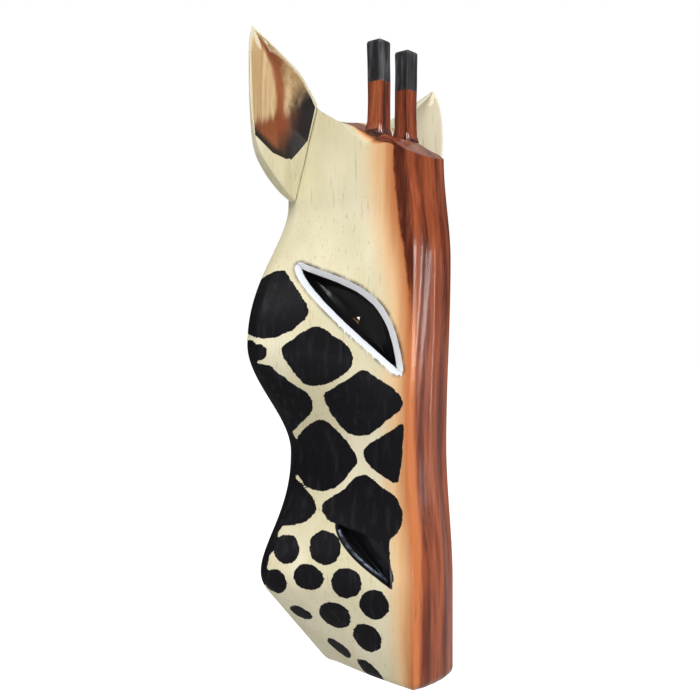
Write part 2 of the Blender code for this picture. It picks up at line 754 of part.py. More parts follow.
def make_horn_socket(side, cutters):
    """The drilled hole for the tenon and the flat filed for the foot."""
    gap = CLEARANCE
    bottom = horn_seat_height(-HORN_DEPTH) - TENON_LENGTH - gap
    foot = HORN_FOOT_SIDE + 2 * gap
    rings = [
        round_ring(side, TENON_RADIUS + gap, lambda y: bottom),
        round_ring(side, TENON_RADIUS + gap, lambda y: horn_seat_height(y) - gap),
        square_ring(side, foot, HORN_EDGE, lambda y: horn_seat_height(y) - gap),
        square_ring(side, foot, HORN_EDGE, lambda y: HORN_TOP),
    ]
    return add_loft(f"horn_socket_cutter_{side}", rings, cutters)


# ---- Hanger ----


def ring_axis():
    """The middle of the strap's fold, on the ring's swing axis."""
    wire_top = RING_HEIGHT * math.cos(ring_lean()) - RING_WIRE
    return Vector((0.0, -RECESS_DEPTH + CLEARANCE + fold_radius(), -wire_top))


def fold_radius():
    return RING_WIRE + CLEARANCE + FOLD_WALL


def ring_lean():
    """The ring leans back until its top rests on the recess's floor."""
    return math.asin((fold_radius() + CLEARANCE - RING_WIRE - RING_TOP_GAP) / RING_HEIGHT)


def fillet_arc(before, corner, after, radius, steps=4):
    """Points round a corner in the XZ plane, between the two straight runs that meet there."""
    to_before, to_after = (before - corner).normalized(), (after - corner).normalized()
    half_angle = to_before.angle(to_after) / 2
    centre = corner + (to_before + to_after).normalized() * radius / math.sin(half_angle)
    first = corner + to_before * radius / math.tan(half_angle) - centre
    last = corner + to_after * radius / math.tan(half_angle) - centre
    start = math.atan2(first.z, first.x)
    turn = (math.atan2(last.z, last.x) - start + math.pi) % (2 * math.pi) - math.pi
    angles = [start + turn * step / steps for step in range(steps + 1)]
    return [centre + Vector((math.cos(a), 0.0, math.sin(a))) * radius for a in angles]


def make_ring(parts, material):
    """A bent wire triangle. Its lower side lies in the strap's fold, on the swing axis."""
    half = RING_WIDTH / 2 - RING_WIRE
    low_left, low_right = Vector((-half, 0, 0)), Vector((half, 0, 0))
    apex = Vector((0, 0, RING_HEIGHT))
    path = fillet_arc(apex, low_left, low_right, RING_CORNER)
    path += fillet_arc(low_left, low_right, apex, RING_CORNER)
    path += fillet_arc(low_right, apex, low_left, RING_APEX, steps=8)
    stretch = RING_HEIGHT / max(p.z for p in path)
    curve = bpy.data.curves.new("hanger_ring", "CURVE")
    curve.dimensions = "3D"
    curve.bevel_depth = RING_WIRE
    curve.bevel_resolution = 2
    curve.use_fill_caps = True
    spline = curve.splines.new("POLY")
    spline.points.add(len(path) - 1)
    for point, place in zip(spline.points, path):
        point.co = (place.x, place.y, place.z * stretch, 1.0)
    spline.use_cyclic_u = True
    ring = bpy.data.objects.new("hanger_ring", curve)
    ring.location = ring_axis()
    ring.rotation_euler = (ring_lean(), 0.0, 0.0)
    parts.objects.link(ring)
    curve.materials.append(material)
    return ring


def make_strap(parts, cutters, material):
    axis = ring_axis()
    floor = -RECESS_DEPTH + CLEARANCE
    half = STRAP_WIDTH / 2
    low = (-half, floor, axis.z - STRAP_LENGTH)
    strap = add_box("hanger_strap", low, (half, floor + STRAP_THICKNESS, axis.z), parts, material)
    across = Matrix.Translation(axis) @ Matrix.Rotation(math.pi / 2, 4, "Y")
    fold = add_cylinder("strap_fold", fold_radius(), STRAP_WIDTH, across, cutters, sides=24)
    bore = add_cylinder("strap_bore", RING_WIRE + CLEARANCE, STRAP_WIDTH * 1.5, across, cutters, sides=16)
    join_or_cut(strap, fold, "UNION")
    join_or_cut(strap, bore)
    for name in SCREW_PLACES:
        radius = SCREW_SHANK + CLEARANCE
        hole = add_cylinder(f"{name}_clear", radius, 0.02, screw_matrix(name), cutters, sides=16)
        join_or_cut(strap, hole)
    return strap


def screw_matrix(name):
    """Z runs out of the wood along +Y, and the origin is under the screw's head, on the strap."""
    axis = ring_axis()
    head = -RECESS_DEPTH + CLEARANCE + STRAP_THICKNESS + CLEARANCE
    place = Matrix.Translation((0.0, head, axis.z - SCREW_PLACES[name]))
    return place @ Matrix.Rotation(-math.pi / 2, 4, "X")


def make_screw(name, parts, cutters, material):
    """A turned profile, from the crown of its head down to its point."""
    profile = [
        (0.0, SCREW_HEAD_HEIGHT),
        (0.6 * SCREW_HEAD, SCREW_HEAD_HEIGHT),
        (0.9 * SCREW_HEAD, 0.6 * SCREW_HEAD_HEIGHT),
        (SCREW_HEAD, 0.0),
        (SCREW_SHANK, 0.0),
        (SCREW_SHANK, SCREW_POINT - SCREW_LENGTH),
        (0.0, -SCREW_LENGTH),
    ]
    mesh = bpy.data.meshes.new(name)
    mesh.from_pydata([(x, 0.0, z) for x, z in profile], [(i, i + 1) for i in range(len(profile) - 1)], [])
    mesh.materials.append(material)
    screw = bpy.data.objects.new(name, mesh)
    screw.matrix_world = screw_matrix(name)
    parts.objects.link(screw)
    turned = screw.modifiers.new("turned", "SCREW")
    turned.steps = 16
    turned.render_steps = 16
    turned.use_merge_vertices = True
    turned.merge_threshold = 0.00001
    low = (-2 * SCREW_HEAD, -SLOT_WIDTH / 2, SCREW_HEAD_HEIGHT - SLOT_DEPTH)
    high = (2 * SCREW_HEAD, SLOT_WIDTH / 2, 2 * SCREW_HEAD_HEIGHT)
    slot = add_box(f"{name}_slot", low, high, cutters)
    slot.matrix_world = screw_matrix(name)
    join_or_cut(screw, slot)
    return screw


def make_pilot_hole(name, cutters):
    reach = SCREW_LENGTH + CLEARANCE
    matrix = screw_matrix(name) @ Matrix.Translation((0, 0, -reach / 2 + 0.001))
    return add_cylinder(f"{name}_pilot", SCREW_SHANK + CLEARANCE, reach + 0.002, matrix, cutters, sides=16)


def recess_bottom():
    return ring_axis().z - STRAP_LENGTH - RECESS_MARGIN


def make_recess(cutters):
    """The pocket behind the hanger, with round ends."""
    bottom = recess_bottom()
    top = RING_WIRE * 2 + RECESS_MARGIN
    radius = RECESS_WIDTH / 2
    outline = []
    for centre, start in ((top - radius, 0.0), (bottom + radius, math.pi)):
        for i in range(9):
            angle = start + math.pi * i / 8
            outline.append((radius * math.cos(angle), centre + radius * math.sin(angle)))
    rings = [[Vector((x, y, z)) for x, z in outline] for y in (-RECESS_DEPTH, 0.004)]
    return add_loft("recess_cutter", rings, cutters)


def main():
    clear_scene()
    parts = new_collection("giraffe_mask")
    cutters = new_collection("cutters")
    painted_wood = new_material("painted_wood", (0.80, 0.74, 0.56), 0.5)
    ear_paint = new_material("ear_paint", (0.78, 0.66, 0.46), 0.5)
    stained_wood = new_material("stained_wood", (0.30, 0.09, 0.04), 0.3)
    bamboo = new_material("bamboo", (0.62, 0.48, 0.26), 0.6)
    steel = new_material("steel", (0.62, 0.62, 0.60), 0.35, 1.0)
    brass = new_material("brass_wire", (0.75, 0.60, 0.30), 0.35, 1.0)

    make_face_block(parts, cutters, painted_wood)
    for side, hand in ((-1, "right"), (1, "left")):
        make_ear(side, f"ear_{hand}", parts, cutters, ear_paint)
        make_dowel(side, f"ear_dowel_{hand}", parts, bamboo)
        make_horn(side, f"horn_{hand}", parts, stained_wood)
    make_strap(parts, cutters, steel)
    make_ring(parts, brass)
    for name in SCREW_PLACES:
        make_screw(name, parts, cutters, steel)


main()
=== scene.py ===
# %% [markdown]
# # A carved giraffe wall mask
# This notebook gives the looks of a hand-carved, hand-painted wooden giraffe face. The engineering model is
# loaded first, and it fixes every size, joint and mounting point. Each cell after it makes one piece or one
# finish of the real object and says why it is made that way. Lengths are metres, and painted distances are
# millimetres.

# %% Load the frame
import json
import math

import bmesh
import bpy
import numpy as np
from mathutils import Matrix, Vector

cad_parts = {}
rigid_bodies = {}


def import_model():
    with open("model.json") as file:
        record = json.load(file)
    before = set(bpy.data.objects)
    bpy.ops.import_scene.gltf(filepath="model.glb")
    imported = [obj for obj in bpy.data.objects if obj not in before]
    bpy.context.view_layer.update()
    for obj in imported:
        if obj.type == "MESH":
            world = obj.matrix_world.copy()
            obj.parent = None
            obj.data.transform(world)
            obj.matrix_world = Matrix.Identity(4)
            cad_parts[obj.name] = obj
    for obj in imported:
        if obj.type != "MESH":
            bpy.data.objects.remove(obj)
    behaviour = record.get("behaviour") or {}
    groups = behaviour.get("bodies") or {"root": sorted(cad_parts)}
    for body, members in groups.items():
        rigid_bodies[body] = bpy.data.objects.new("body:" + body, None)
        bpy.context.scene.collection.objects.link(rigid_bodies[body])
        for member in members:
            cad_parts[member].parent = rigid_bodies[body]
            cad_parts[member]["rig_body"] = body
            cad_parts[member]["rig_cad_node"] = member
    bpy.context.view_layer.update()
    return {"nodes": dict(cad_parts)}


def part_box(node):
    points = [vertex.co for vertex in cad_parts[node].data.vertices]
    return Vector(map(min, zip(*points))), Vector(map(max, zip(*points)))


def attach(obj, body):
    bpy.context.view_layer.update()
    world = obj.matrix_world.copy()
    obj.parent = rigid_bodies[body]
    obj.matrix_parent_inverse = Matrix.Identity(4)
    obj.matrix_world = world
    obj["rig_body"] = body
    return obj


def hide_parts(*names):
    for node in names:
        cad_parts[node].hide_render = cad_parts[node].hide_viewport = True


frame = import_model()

MM = 0.001
SIDES = ((-1, "right"), (1, "left"))
print("nodes in the frame:", ", ".join(sorted(frame["nodes"])))

# %% [markdown]
# ## Small helpers
# An operator works on whatever is selected, so every step starts by clearing the selection. A modifier is
# always applied once it is right, which leaves plain meshes that can be exported.

# %% Selection and modifiers
def pick(obj):
    """Makes this the only selected object, and the active one."""
    for other in bpy.context.selected_objects:
        other.select_set(False)
    obj.select_set(True)
    bpy.context.view_layer.objects.active = obj


def apply_modifiers(obj):
    pick(obj)
    for modifier in list(obj.modifiers):
        bpy.ops.object.modifier_apply(modifier=modifier.name)


def clean(obj, distance=2e-6):
    """Merges doubled points and turns every face outwards."""
    pick(obj)
    bpy.ops.object.mode_set(mode="EDIT")
    bpy.ops.mesh.select_all(action="SELECT")
    bpy.ops.mesh.remove_doubles(threshold=distance)
    bpy.ops.mesh.normals_make_consistent(inside=False)
    bpy.ops.object.mode_set(mode="OBJECT")


def shade(obj, degrees=32):
    pick(obj)
    bpy.ops.object.shade_smooth_by_angle(angle=math.radians(degrees))


def tell(obj):
    faces = sum(len(polygon.vertices) - 2 for polygon in obj.data.polygons)
    sides = sum(len(polygon.vertices) for polygon in obj.data.polygons)
    closed = "closed" if sides == 2 * len(obj.data.edges) else "open"
    print(f"{obj.name}: {len(obj.data.vertices)} points, {faces} triangles, {closed}")


def cut(obj, *cutters):
    """Cuts shapes out of a piece. The new faces keep the cutter's material."""
    for cutter in cutters:
        modifier = obj.modifiers.new("cut " + cutter.name, "BOOLEAN")
        modifier.operation = "DIFFERENCE"
        modifier.solver = "MANIFOLD"
        modifier.material_mode = "TRANSFER"
        modifier.object = cutter
        apply_modifiers(obj)
        bpy.data.objects.remove(cutter, do_unlink=True)


def through_rings(name, rings, material):
    """A closed solid through rings of equally many points, each ring a list of places."""
    count = len(rings[0])
    shape = bmesh.new()
    levels = [[shape.verts.new(Vector(place)) for place in ring] for ring in rings]
    for low, high in zip(levels, levels[1:]):
        for i in range(count):
            j = (i + 1) % count
            shape.faces.new((low[i], low[j], high[j], high[i]))
    shape.faces.new(reversed(levels[0]))
    shape.faces.new(levels[-1])
    bmesh.ops.remove_doubles(shape, verts=shape.verts, dist=1e-7)
    bmesh.ops.triangulate(shape, faces=shape.faces)
    bmesh.ops.recalc_face_normals(shape, faces=shape.faces)
    mesh = bpy.data.meshes.new(name)
    shape.to_mesh(mesh)
    shape.free()
    obj = bpy.data.objects.new(name, mesh)
    bpy.context.scene.collection.objects.link(obj)
    mesh.materials.append(material)
    return obj


def places_of(obj):
    """The piece's points as an array of rows (x, y, z)."""
    flat = np.empty(len(obj.data.vertices) * 3, np.float32)
    obj.data.vertices.foreach_get("co", flat)
    return flat.reshape(-1, 3).astype(float)


def write_attribute(obj, name, values):
    """Stores one number for each point, which a material can read by this name."""
    attribute = obj.data.attributes.new(name, "FLOAT", "POINT")
    attribute.data.foreach_set("value", np.asarray(values, np.float32))


# %% [markdown]
# ## Building materials from nodes
# Every finish here is procedural. These helpers keep a material readable: `Nodes` adds a node, links what
# is given to its inputs and hands back its output, so that a formula reads from left to right.

# %% A helper for node trees
class Nodes:
    def __init__(self, tree):
        self.tree = tree

    def add(self, kind, inputs=None, output=0, **settings):
        made = self.tree.nodes.new(kind)
        for key, value in settings.items():
            setattr(made, key, value)
        for key, value in (inputs or {}).items():
            self.feed(made.inputs[key], value)
        return made.outputs[output]

    def feed(self, socket, value):
        if isinstance(value, bpy.types.NodeSocket):
            self.tree.links.new(value, socket)
        else:
            socket.default_value = value

    def math(self, operation, a, b=0.0, clamp=False):
        return self.add("ShaderNodeMath", {0: a, 1: b}, operation=operation, use_clamp=clamp)

    def times(self, a, b):
        return self.math("MULTIPLY", a, b)

    def plus(self, a, b):
        return self.math("ADD", a, b)

    def minus(self, a, b, clamp=False):
        return self.math("SUBTRACT", a, b, clamp)

    def ramp(self, value, start, end, low=0.0, high=1.0):
        """Goes smoothly from low to high while the value goes from start to end."""
        inputs = {0: value, 1: start, 2: end, 3: low, 4: high}
        return self.add("ShaderNodeMapRange", inputs, interpolation_type="SMOOTHSTEP")

    def mix(self, factor, a, b, blend="MIX"):
        inputs = {0: factor, 6: a, 7: b}
        return self.add("ShaderNodeMix", inputs, 2, data_type="RGBA", blend_type=blend)

    def bump(self, height, strength, distance):
        return self.add("ShaderNodeBump", {"Strength": strength, "Distance": distance, "Height": height})

    def attribute(self, name):
        return self.add("ShaderNodeAttribute", output=2, attribute_name=name)

    def group(self, group, inputs):
        made = self.tree.nodes.new("ShaderNodeGroup")
        made.node_tree = group
        for key, value in inputs.items():
            self.feed(made.inputs[key], value)
        return made.outputs

    def stretched_noise(self, scale, stretch, detail=3.0, roughness=0.55, distortion=0.0):
        """Noise on Object coordinates, drawn out along the grain, which runs up the piece."""
        place = self.add("ShaderNodeTexCoord", output=3)
        scaled = self.add("ShaderNodeMapping", {"Vector": place, "Scale": (1.0, 1.0, 1.0 / stretch)})
        inputs = {"Vector": scaled, "Scale": scale, "Detail": detail}
        inputs["Roughness"] = roughness
        inputs["Distortion"] = distortion
        return self.add("ShaderNodeTexNoise", inputs)


def new_group(name, inputs, outputs):
    group = bpy.data.node_groups.new(name, "ShaderNodeTree")
    for label, default in inputs.items():
        socket = group.interface.new_socket(name=label, in_out="INPUT", socket_type="NodeSocketFloat")
        socket.default_value = default
    for label in outputs:
        group.interface.new_socket(name=label, in_out="OUTPUT", socket_type="NodeSocketFloat")
    given = group.nodes.new("NodeGroupInput")
    result = group.nodes.new("NodeGroupOutput")
    return Nodes(group), given.outputs, result.inputs


def new_finish(name, roughness, coat=0.0, coat_roughness=0.1, metallic=0.0):
    """A material with its Principled shader, whose constants sit on the shader itself."""
    material = bpy.data.materials.new(name)
    material.use_nodes = True
    shader = material.node_tree.nodes["Principled BSDF"]
    shader.inputs["Roughness"].default_value = roughness
    shader.inputs["Coat Weight"].default_value = coat
    shader.inputs["Coat Roughness"].default_value = coat_roughness
    shader.inputs["Metallic"].default_value = metallic
    return material, Nodes(material.node_tree), shader


print("node tools:", ", ".join(name for name in vars(Nodes) if not name.startswith("_")))

# %% [markdown]
# ## Effects shared by the finishes
# The mask is carved from a light, straight-grained wood, and its fine pores show through every coat of
# paint. The first group makes that grain. The second turns a distance to a painted outline into a mask with
# a brushed edge: the brush leaves fine teeth along the grain.

# %% Grain and brushed edge groups
def build_grain():
    nodes, given, result = new_group("wood grain", {"Fineness": 1.0}, ["Streaks", "Pores", "Height"])
    fine = nodes.times(given["Fineness"], 620.0)
    coarse = nodes.times(given["Fineness"], 95.0)
    streaks = nodes.stretched_noise(coarse, 14.0, detail=5.0, roughness=0.62, distortion=0.25)
    hair = nodes.stretched_noise(fine, 22.0, detail=2.0)
    pores = nodes.ramp(hair, 0.60, 0.72)
    height = nodes.minus(nodes.times(streaks, 0.5), nodes.times(pores, 0.6))
    nodes.feed(result["Streaks"], streaks)
    nodes.feed(result["Pores"], pores)
    nodes.feed(result["Height"], height)
    return nodes.tree


def build_brushed_edge():
    inputs = {"Distance": 0.0, "Teeth": 0.5, "Softness": 0.3}
    nodes, given, result = new_group("brushed edge", inputs, ["Mask"])
    teeth = nodes.minus(nodes.stretched_noise(1100.0, 3.0, detail=3.0), 0.5)
    wave = nodes.minus(nodes.stretched_noise(150.0, 1.0, detail=1.0), 0.5)
    rough = nodes.plus(nodes.times(teeth, 1.6), nodes.times(wave, 1.8))
    moved = nodes.plus(given["Distance"], nodes.times(rough, given["Teeth"]))
    below = nodes.times(given["Softness"], -1.0)
    nodes.feed(result["Mask"], nodes.ramp(moved, below, given["Softness"], 1.0, 0.0))
    return nodes.tree


def grain(nodes, fineness=1.0):
    """The grain's streaks, pores and height in a finish."""
    outputs = nodes.group(grain_group, {"Fineness": fineness})
    return outputs["Streaks"], outputs["Pores"], outputs["Height"]


def brushed(nodes, distance, teeth, softness):
    """1 inside an outline, with a brushed edge."""
    return nodes.group(edge_group, {"Distance": distance, "Teeth": teeth, "Softness": softness})["Mask"]


grain_group = build_grain()
edge_group = build_brushed_edge()
print("shared node groups:", grain_group.name + ",", edge_group.name)

# %% [markdown]
# ## The face paint
# The cheeks are cream enamel. Black patches with narrow cream lines between them cover the middle, and
# round dots cover the muzzle. The nose ridge is stained red-brown and varnished, with orange sprayed softly
# beside it. The socket and the nostril are gloss black, and a white bevel rings the eye. Some light is
# painted in as colour: a pale painted highlight along each nostril's lower lip, lighter and bluish-grey
# tones of the eye's one white, and an orange on the ridge's right edge that is partly a painted highlight.
# The mesh carries how far each point lies from each outline, so one material can paint them all, sharp at
# any distance.

# %% The painted face finish
CREAM_LIGHT = (0.78, 0.73, 0.56, 1)
CREAM_DEEP = (0.68, 0.63, 0.44, 1)
PAINT_BLACK = (0.008, 0.007, 0.009, 1)
SPRAYED_ORANGE = (0.50, 0.17, 0.055, 1)
PALE_ORANGE = (0.76, 0.50, 0.27, 1)
STAIN_DARK = (0.085, 0.016, 0.007, 1)
STAIN_MIDDLE = (0.26, 0.055, 0.020, 1)
STAIN_LIGHT = (0.46, 0.14, 0.050, 1)


RIDGE_BROWN = (0.20, 0.042, 0.014, 1)
RIDGE_RED = (0.42, 0.115, 0.044, 1)
RIDGE_ORANGE_AND_HIGHLIGHT = (0.62, 0.215, 0.072, 1)
DARK_RUN = (0.12, 0.022, 0.009, 1)
FOREHEAD_DARK = (0.085, 0.017, 0.007, 1)


def stained_wood_colour(nodes, streaks, darken=0.0):
    """Red-brown stain: the soft early wood drinks more of it than the hard late wood."""
    low = nodes.mix(nodes.ramp(streaks, 0.36, 0.52), STAIN_DARK, STAIN_MIDDLE)
    full = nodes.mix(nodes.ramp(streaks, 0.52, 0.70), low, STAIN_LIGHT)
    return nodes.mix(darken, full, STAIN_DARK)


def ridge_colour(nodes, streaks):
    """The ridge's stain: orange along its right edge, partly a painted highlight, a dark run inside both, and
    dark at the forehead.
    """
    place = nodes.add("ShaderNodeTexCoord", output=3)
    split = nodes.tree.nodes.new("ShaderNodeSeparateXYZ")
    nodes.feed(split.inputs[0], place)
    unsteady = nodes.minus(nodes.stretched_noise(40.0, 5.0, detail=3.0), 0.5)
    wander = nodes.times(unsteady, 0.014)
    x = nodes.plus(nodes.math("ABSOLUTE", split.outputs[0]), wander)
    below = nodes.ramp(split.outputs[2], -0.150, -0.085, 1.0, 0.0)
    middle = nodes.mix(nodes.ramp(streaks, 0.32, 0.66), RIDGE_BROWN, RIDGE_RED)
    run = nodes.times(nodes.ramp(x, 0.006, 0.011), nodes.ramp(x, 0.014, 0.019, 1.0, 0.0))
    run = nodes.times(run, nodes.ramp(streaks, 0.40, 0.60, 0.9, 0.35))
    colour = nodes.mix(run, middle, DARK_RUN)
    # The orange on the right edge alone is sprayed orange and also a painted highlight where that edge faces
    # the light; the left edge gets none.
    near_side = nodes.plus(nodes.times(split.outputs[0], -1.0), wander)
    rim = nodes.times(nodes.ramp(near_side, 0.016, 0.021), below)
    colour = nodes.mix(nodes.times(rim, 0.92), colour, RIDGE_ORANGE_AND_HIGHLIGHT)
    forehead = nodes.times(nodes.ramp(x, 0.021, 0.027), nodes.minus(1.0, below))
    forehead = nodes.times(forehead, nodes.ramp(streaks, 0.42, 0.62, 0.95, 0.30))
    return nodes.mix(forehead, colour, FOREHEAD_DARK)


def cream_colour(nodes, streaks, pores):
    cloud = nodes.ramp(nodes.stretched_noise(22.0, 2.5, detail=2.0), 0.35, 0.68)
    cream = nodes.mix(cloud, CREAM_DEEP, CREAM_LIGHT)
    brushed = nodes.mix(nodes.ramp(streaks, 0.42, 0.75, 0.0, 0.30), cream, (0.66, 0.55, 0.33, 1))
    return nodes.mix(nodes.times(pores, 0.32), brushed, (0.36, 0.28, 0.15, 1))


def specks(nodes, size, share):
    """Sparse dark pinholes in the paint."""
    place = nodes.add("ShaderNodeTexCoord", output=3)
    cells = nodes.add("ShaderNodeTexVoronoi", {"Vector": place, "Scale": size})
    chance = nodes.ramp(nodes.stretched_noise(size * 0.7, 1.0, detail=0.0), share, share + 0.04)
    return nodes.times(nodes.ramp(cells, 0.05, 0.11, 1.0, 0.0), chance)


def build_face_finish():
    material, nodes, shader = new_finish("painted face", 0.4, coat=0.55, coat_roughness=0.16)
    shader.inputs["Specular IOR Level"].default_value = 0.15
    streaks, pores, height = grain(nodes)

    colour = cream_colour(nodes, streaks, pores)
    colour = nodes.mix(nodes.times(specks(nodes, 190.0, 0.60), 0.55), colour, (0.20, 0.15, 0.09, 1))

    fade = nodes.attribute("fade")
    ragged = nodes.plus(fade, nodes.times(nodes.minus(streaks, 0.5), 0.55))
    colour = nodes.mix(nodes.ramp(ragged, 0.30, 1.30, 1.0, 0.0), colour, PALE_ORANGE)
    colour = nodes.mix(nodes.ramp(ragged, -0.1, 0.62, 0.97, 0.0), colour, SPRAYED_ORANGE)

    patch = brushed(nodes, nodes.attribute("patch"), 1.4, 0.22)
    bloom = nodes.ramp(nodes.stretched_noise(230.0, 6.0), 0.50, 0.72, 0.0, 0.5)
    black = nodes.mix(bloom, PAINT_BLACK, (0.032, 0.031, 0.039, 1))
    black = nodes.mix(nodes.times(pores, 0.55), black, (0.001, 0.001, 0.001, 1))
    colour = nodes.mix(patch, colour, black)

    eye, along, up = (nodes.attribute(name) for name in ("eye", "eye_along", "eye_up"))
    above = nodes.ramp(up, -1.0, 3.0)
    below = nodes.minus(1.0, above)
    smudged = nodes.ramp(nodes.stretched_noise(170.0, 2.5, detail=4.0), 0.36, 0.62, 0.25, 1.0)
    spray = nodes.times(nodes.ramp(eye, 4.4, 7.6, 1.0, 0.0), nodes.times(above, smudged))
    colour = nodes.mix(nodes.times(spray, 0.85), colour, (0.030, 0.020, 0.016, 1))
    smudge = nodes.times(nodes.ramp(eye, 4.6, 7.4, 0.7, 0.0), nodes.times(below, smudged))
    colour = nodes.mix(smudge, colour, (0.16, 0.14, 0.12, 1))
    inner_half = nodes.times(nodes.ramp(along, 50.0, 72.0), below)
    hairs = nodes.ramp(nodes.stretched_noise(700.0, 9.0, detail=2.0), 0.48, 0.70)
    feather = nodes.times(hairs, 2.4)
    eye_rim = nodes.minus(eye, nodes.plus(4.3, nodes.times(inner_half, feather)))
    # The eye's white is one paint, mixed whiter above the eye and bluish grey below it as painted light on
    # the bevel; the blue below is a painted sky reflection.
    white = nodes.mix(above, (0.74, 0.76, 0.80, 1), (0.86, 0.86, 0.88, 1))
    colour = nodes.mix(brushed(nodes, eye_rim, 0.25, 0.2), colour, white)
    eye_black = brushed(nodes, nodes.plus(eye, 0.1), 0.30, 0.15)
    colour = nodes.mix(eye_black, colour, (0.004, 0.004, 0.005, 1))

    nostril = brushed(nodes, nodes.minus(nodes.attribute("nostril"), 0.3), 0.25, 0.2)
    colour = nodes.mix(nostril, colour, (0.006, 0.006, 0.008, 1))
    # A broken pale blue line along the nostril's lower lip is a painted highlight: the gloss that the lip
    # catches.
    broken = nodes.ramp(nodes.stretched_noise(330.0, 2.0, detail=3.0), 0.40, 0.62, 0.15, 0.8)
    painted_lip_highlight = nodes.times(nodes.ramp(nodes.attribute("lip"), 0.1, 1.1, 1.0, 0.0), broken)
    colour = nodes.mix(painted_lip_highlight, colour, (0.42, 0.50, 0.62, 1))

    stain = brushed(nodes, nodes.attribute("stain"), 1.4, 1.3)
    fine = grain(nodes, 2.4)[0]
    wood = ridge_colour(nodes, nodes.plus(nodes.times(streaks, 0.45), nodes.times(fine, 0.55)))
    wood = nodes.mix(nodes.times(pores, 0.35), wood, (0.05, 0.012, 0.006, 1))
    colour = nodes.mix(stain, colour, wood)
    unpainted = nodes.plus(nodes.attribute("from_back"), nodes.times(streaks, 0.5))
    unpainted = nodes.ramp(unpainted, 0.45, 0.75, 1.0, 0.0)
    raw = nodes.mix(streaks, (0.34, 0.20, 0.10, 1), (0.66, 0.48, 0.28, 1))
    colour = nodes.mix(unpainted, colour, nodes.mix(nodes.times(pores, 0.5), raw, (0.12, 0.06, 0.03, 1)))
    nodes.feed(shader.inputs["Base Color"], colour)

    glossy = nodes.math("MAXIMUM", stain, nodes.math("MAXIMUM", nodes.times(eye_black, 0.5), nostril))
    glossy = nodes.minus(glossy, unpainted, clamp=True)
    roughness = nodes.ramp(glossy, 0.0, 1.0, 0.50, 0.30)
    mottled = nodes.plus(roughness, nodes.times(nodes.minus(streaks, 0.5), 0.30))
    nodes.feed(shader.inputs["Roughness"], mottled)
    coat = nodes.minus(nodes.ramp(glossy, 0.0, 1.0, 0.14, 0.65), nodes.times(patch, 0.12), clamp=True)
    nodes.feed(shader.inputs["Coat Weight"], coat)
    pitted = nodes.times(nodes.stretched_noise(950.0, 2.5, detail=2.0), 1.1)
    thick = nodes.plus(nodes.plus(height, pitted), nodes.times(patch, 0.55))
    nodes.feed(shader.inputs["Normal"], nodes.bump(thick, 0.55, 0.00022))
    return material


def build_raw_finish():
    """Bare wood behind the mask: pale, with a brown stain wiped thinly over it and gouge marks across it."""
    material, nodes, shader = new_finish("bare wood", 0.75)
    streaks, pores, _ = grain(nodes, 0.8)
    wiped = nodes.ramp(nodes.stretched_noise(16.0, 2.0, detail=3.0), 0.35, 0.72)
    colour = nodes.mix(streaks, (0.30, 0.17, 0.08, 1), (0.62, 0.43, 0.24, 1))
    colour = nodes.mix(nodes.times(wiped, 0.45), colour, (0.22, 0.09, 0.035, 1))
    colour = nodes.mix(nodes.times(pores, 0.5), colour, (0.10, 0.045, 0.02, 1))
    nodes.feed(shader.inputs["Base Color"], colour)
    gouges = nodes.stretched_noise(85.0, 3.0, detail=1.0, distortion=0.6)
    rough = nodes.plus(gouges, nodes.times(streaks, 0.35))
    nodes.feed(shader.inputs["Normal"], nodes.bump(rough, 0.8, 0.0009))
    return material


def build_glue_finish():
    """Dark, glossy glue and filler squeezed out where the horns stand in the head."""
    material, nodes, shader = new_finish("dried glue", 0.28, coat=0.6, coat_roughness=0.15)
    lumps = nodes.stretched_noise(420.0, 1.0, detail=4.0)
    colour = nodes.mix(nodes.ramp(lumps, 0.4, 0.65), (0.035, 0.010, 0.006, 1), (0.13, 0.035, 0.016, 1))
    nodes.feed(shader.inputs["Base Color"], colour)
    nodes.feed(shader.inputs["Normal"], nodes.bump(lumps, 1.0, 0.0006))
    return material


painted_face = build_face_finish()
bare_wood = build_raw_finish()
dried_glue = build_glue_finish()
print("finishes:", painted_face.name + ",", bare_wood.name + ",", dried_glue.name)

# %% [markdown]
# ## The carver's plan of the face
# The face is a long block whose width swells at the eyes and at the muzzle. Each cheek runs straight from
# the edge of the nose ridge back to a thin rim. The plan gives the half width and the depth of the ridge's
# edge at a few heights, and a curve that runs level through each of them gives the rest. The last line
# prints the widest place beside the box of the frame's own block, which it has to fit.

# %% Half width and depth at any height
CROWN_HALF, CROWN_BACK = 0.051, 0.040
FOREHEAD, EYE_LEVEL, WAIST, MUZZLE, CHIN = -0.037, -0.146, -0.230, -0.318, -0.405
BROW, BROW_DEPTH = 0.0, 0.0925
LIP, LIP_DEPTH = -0.330, 0.101
WIDTH_PLAN = (  # height, half width, skew of the curve down to it
    (CROWN_BACK, CROWN_HALF, 0), (FOREHEAD, 0.055, 0), (EYE_LEVEL, 0.0995, 0.3),
    (WAIST, 0.0523, 0), (MUZZLE, 0.0855, -0.45),
)
DEPTH_PLAN = ((BROW, BROW_DEPTH, 0), (-0.080, 0.099, 0), (-0.224, 0.095, 0), (LIP, LIP_DEPTH, 0))
CHIN_HALF, CHIN_SLOPE, CHIN_BLEND, CHIN_ROUND = 0.008, 0.983, 0.008, 0.008
RIDGE = 0.026
RIDGE_CROWN, RIDGE_ROUND = 0.0035, 0.003
RIM, RIM_ROUND = 0.008, 0.0015
BULGE = 0.002


def smooth(t):
    t = np.clip(t, 0.0, 1.0)
    return t * t * (3 - 2 * t)


def plan(height, knots):
    value = np.full(np.shape(height), knots[0][1], float)
    for (top, first, _), (bottom, second, skew) in zip(knots, knots[1:]):
        t = np.clip((top - height) / (top - bottom), 0.0, 1.0)
        step = first + (second - first) * smooth(t + skew * t * (1 - t))
        value = np.where(height < top, step, value)
    return value


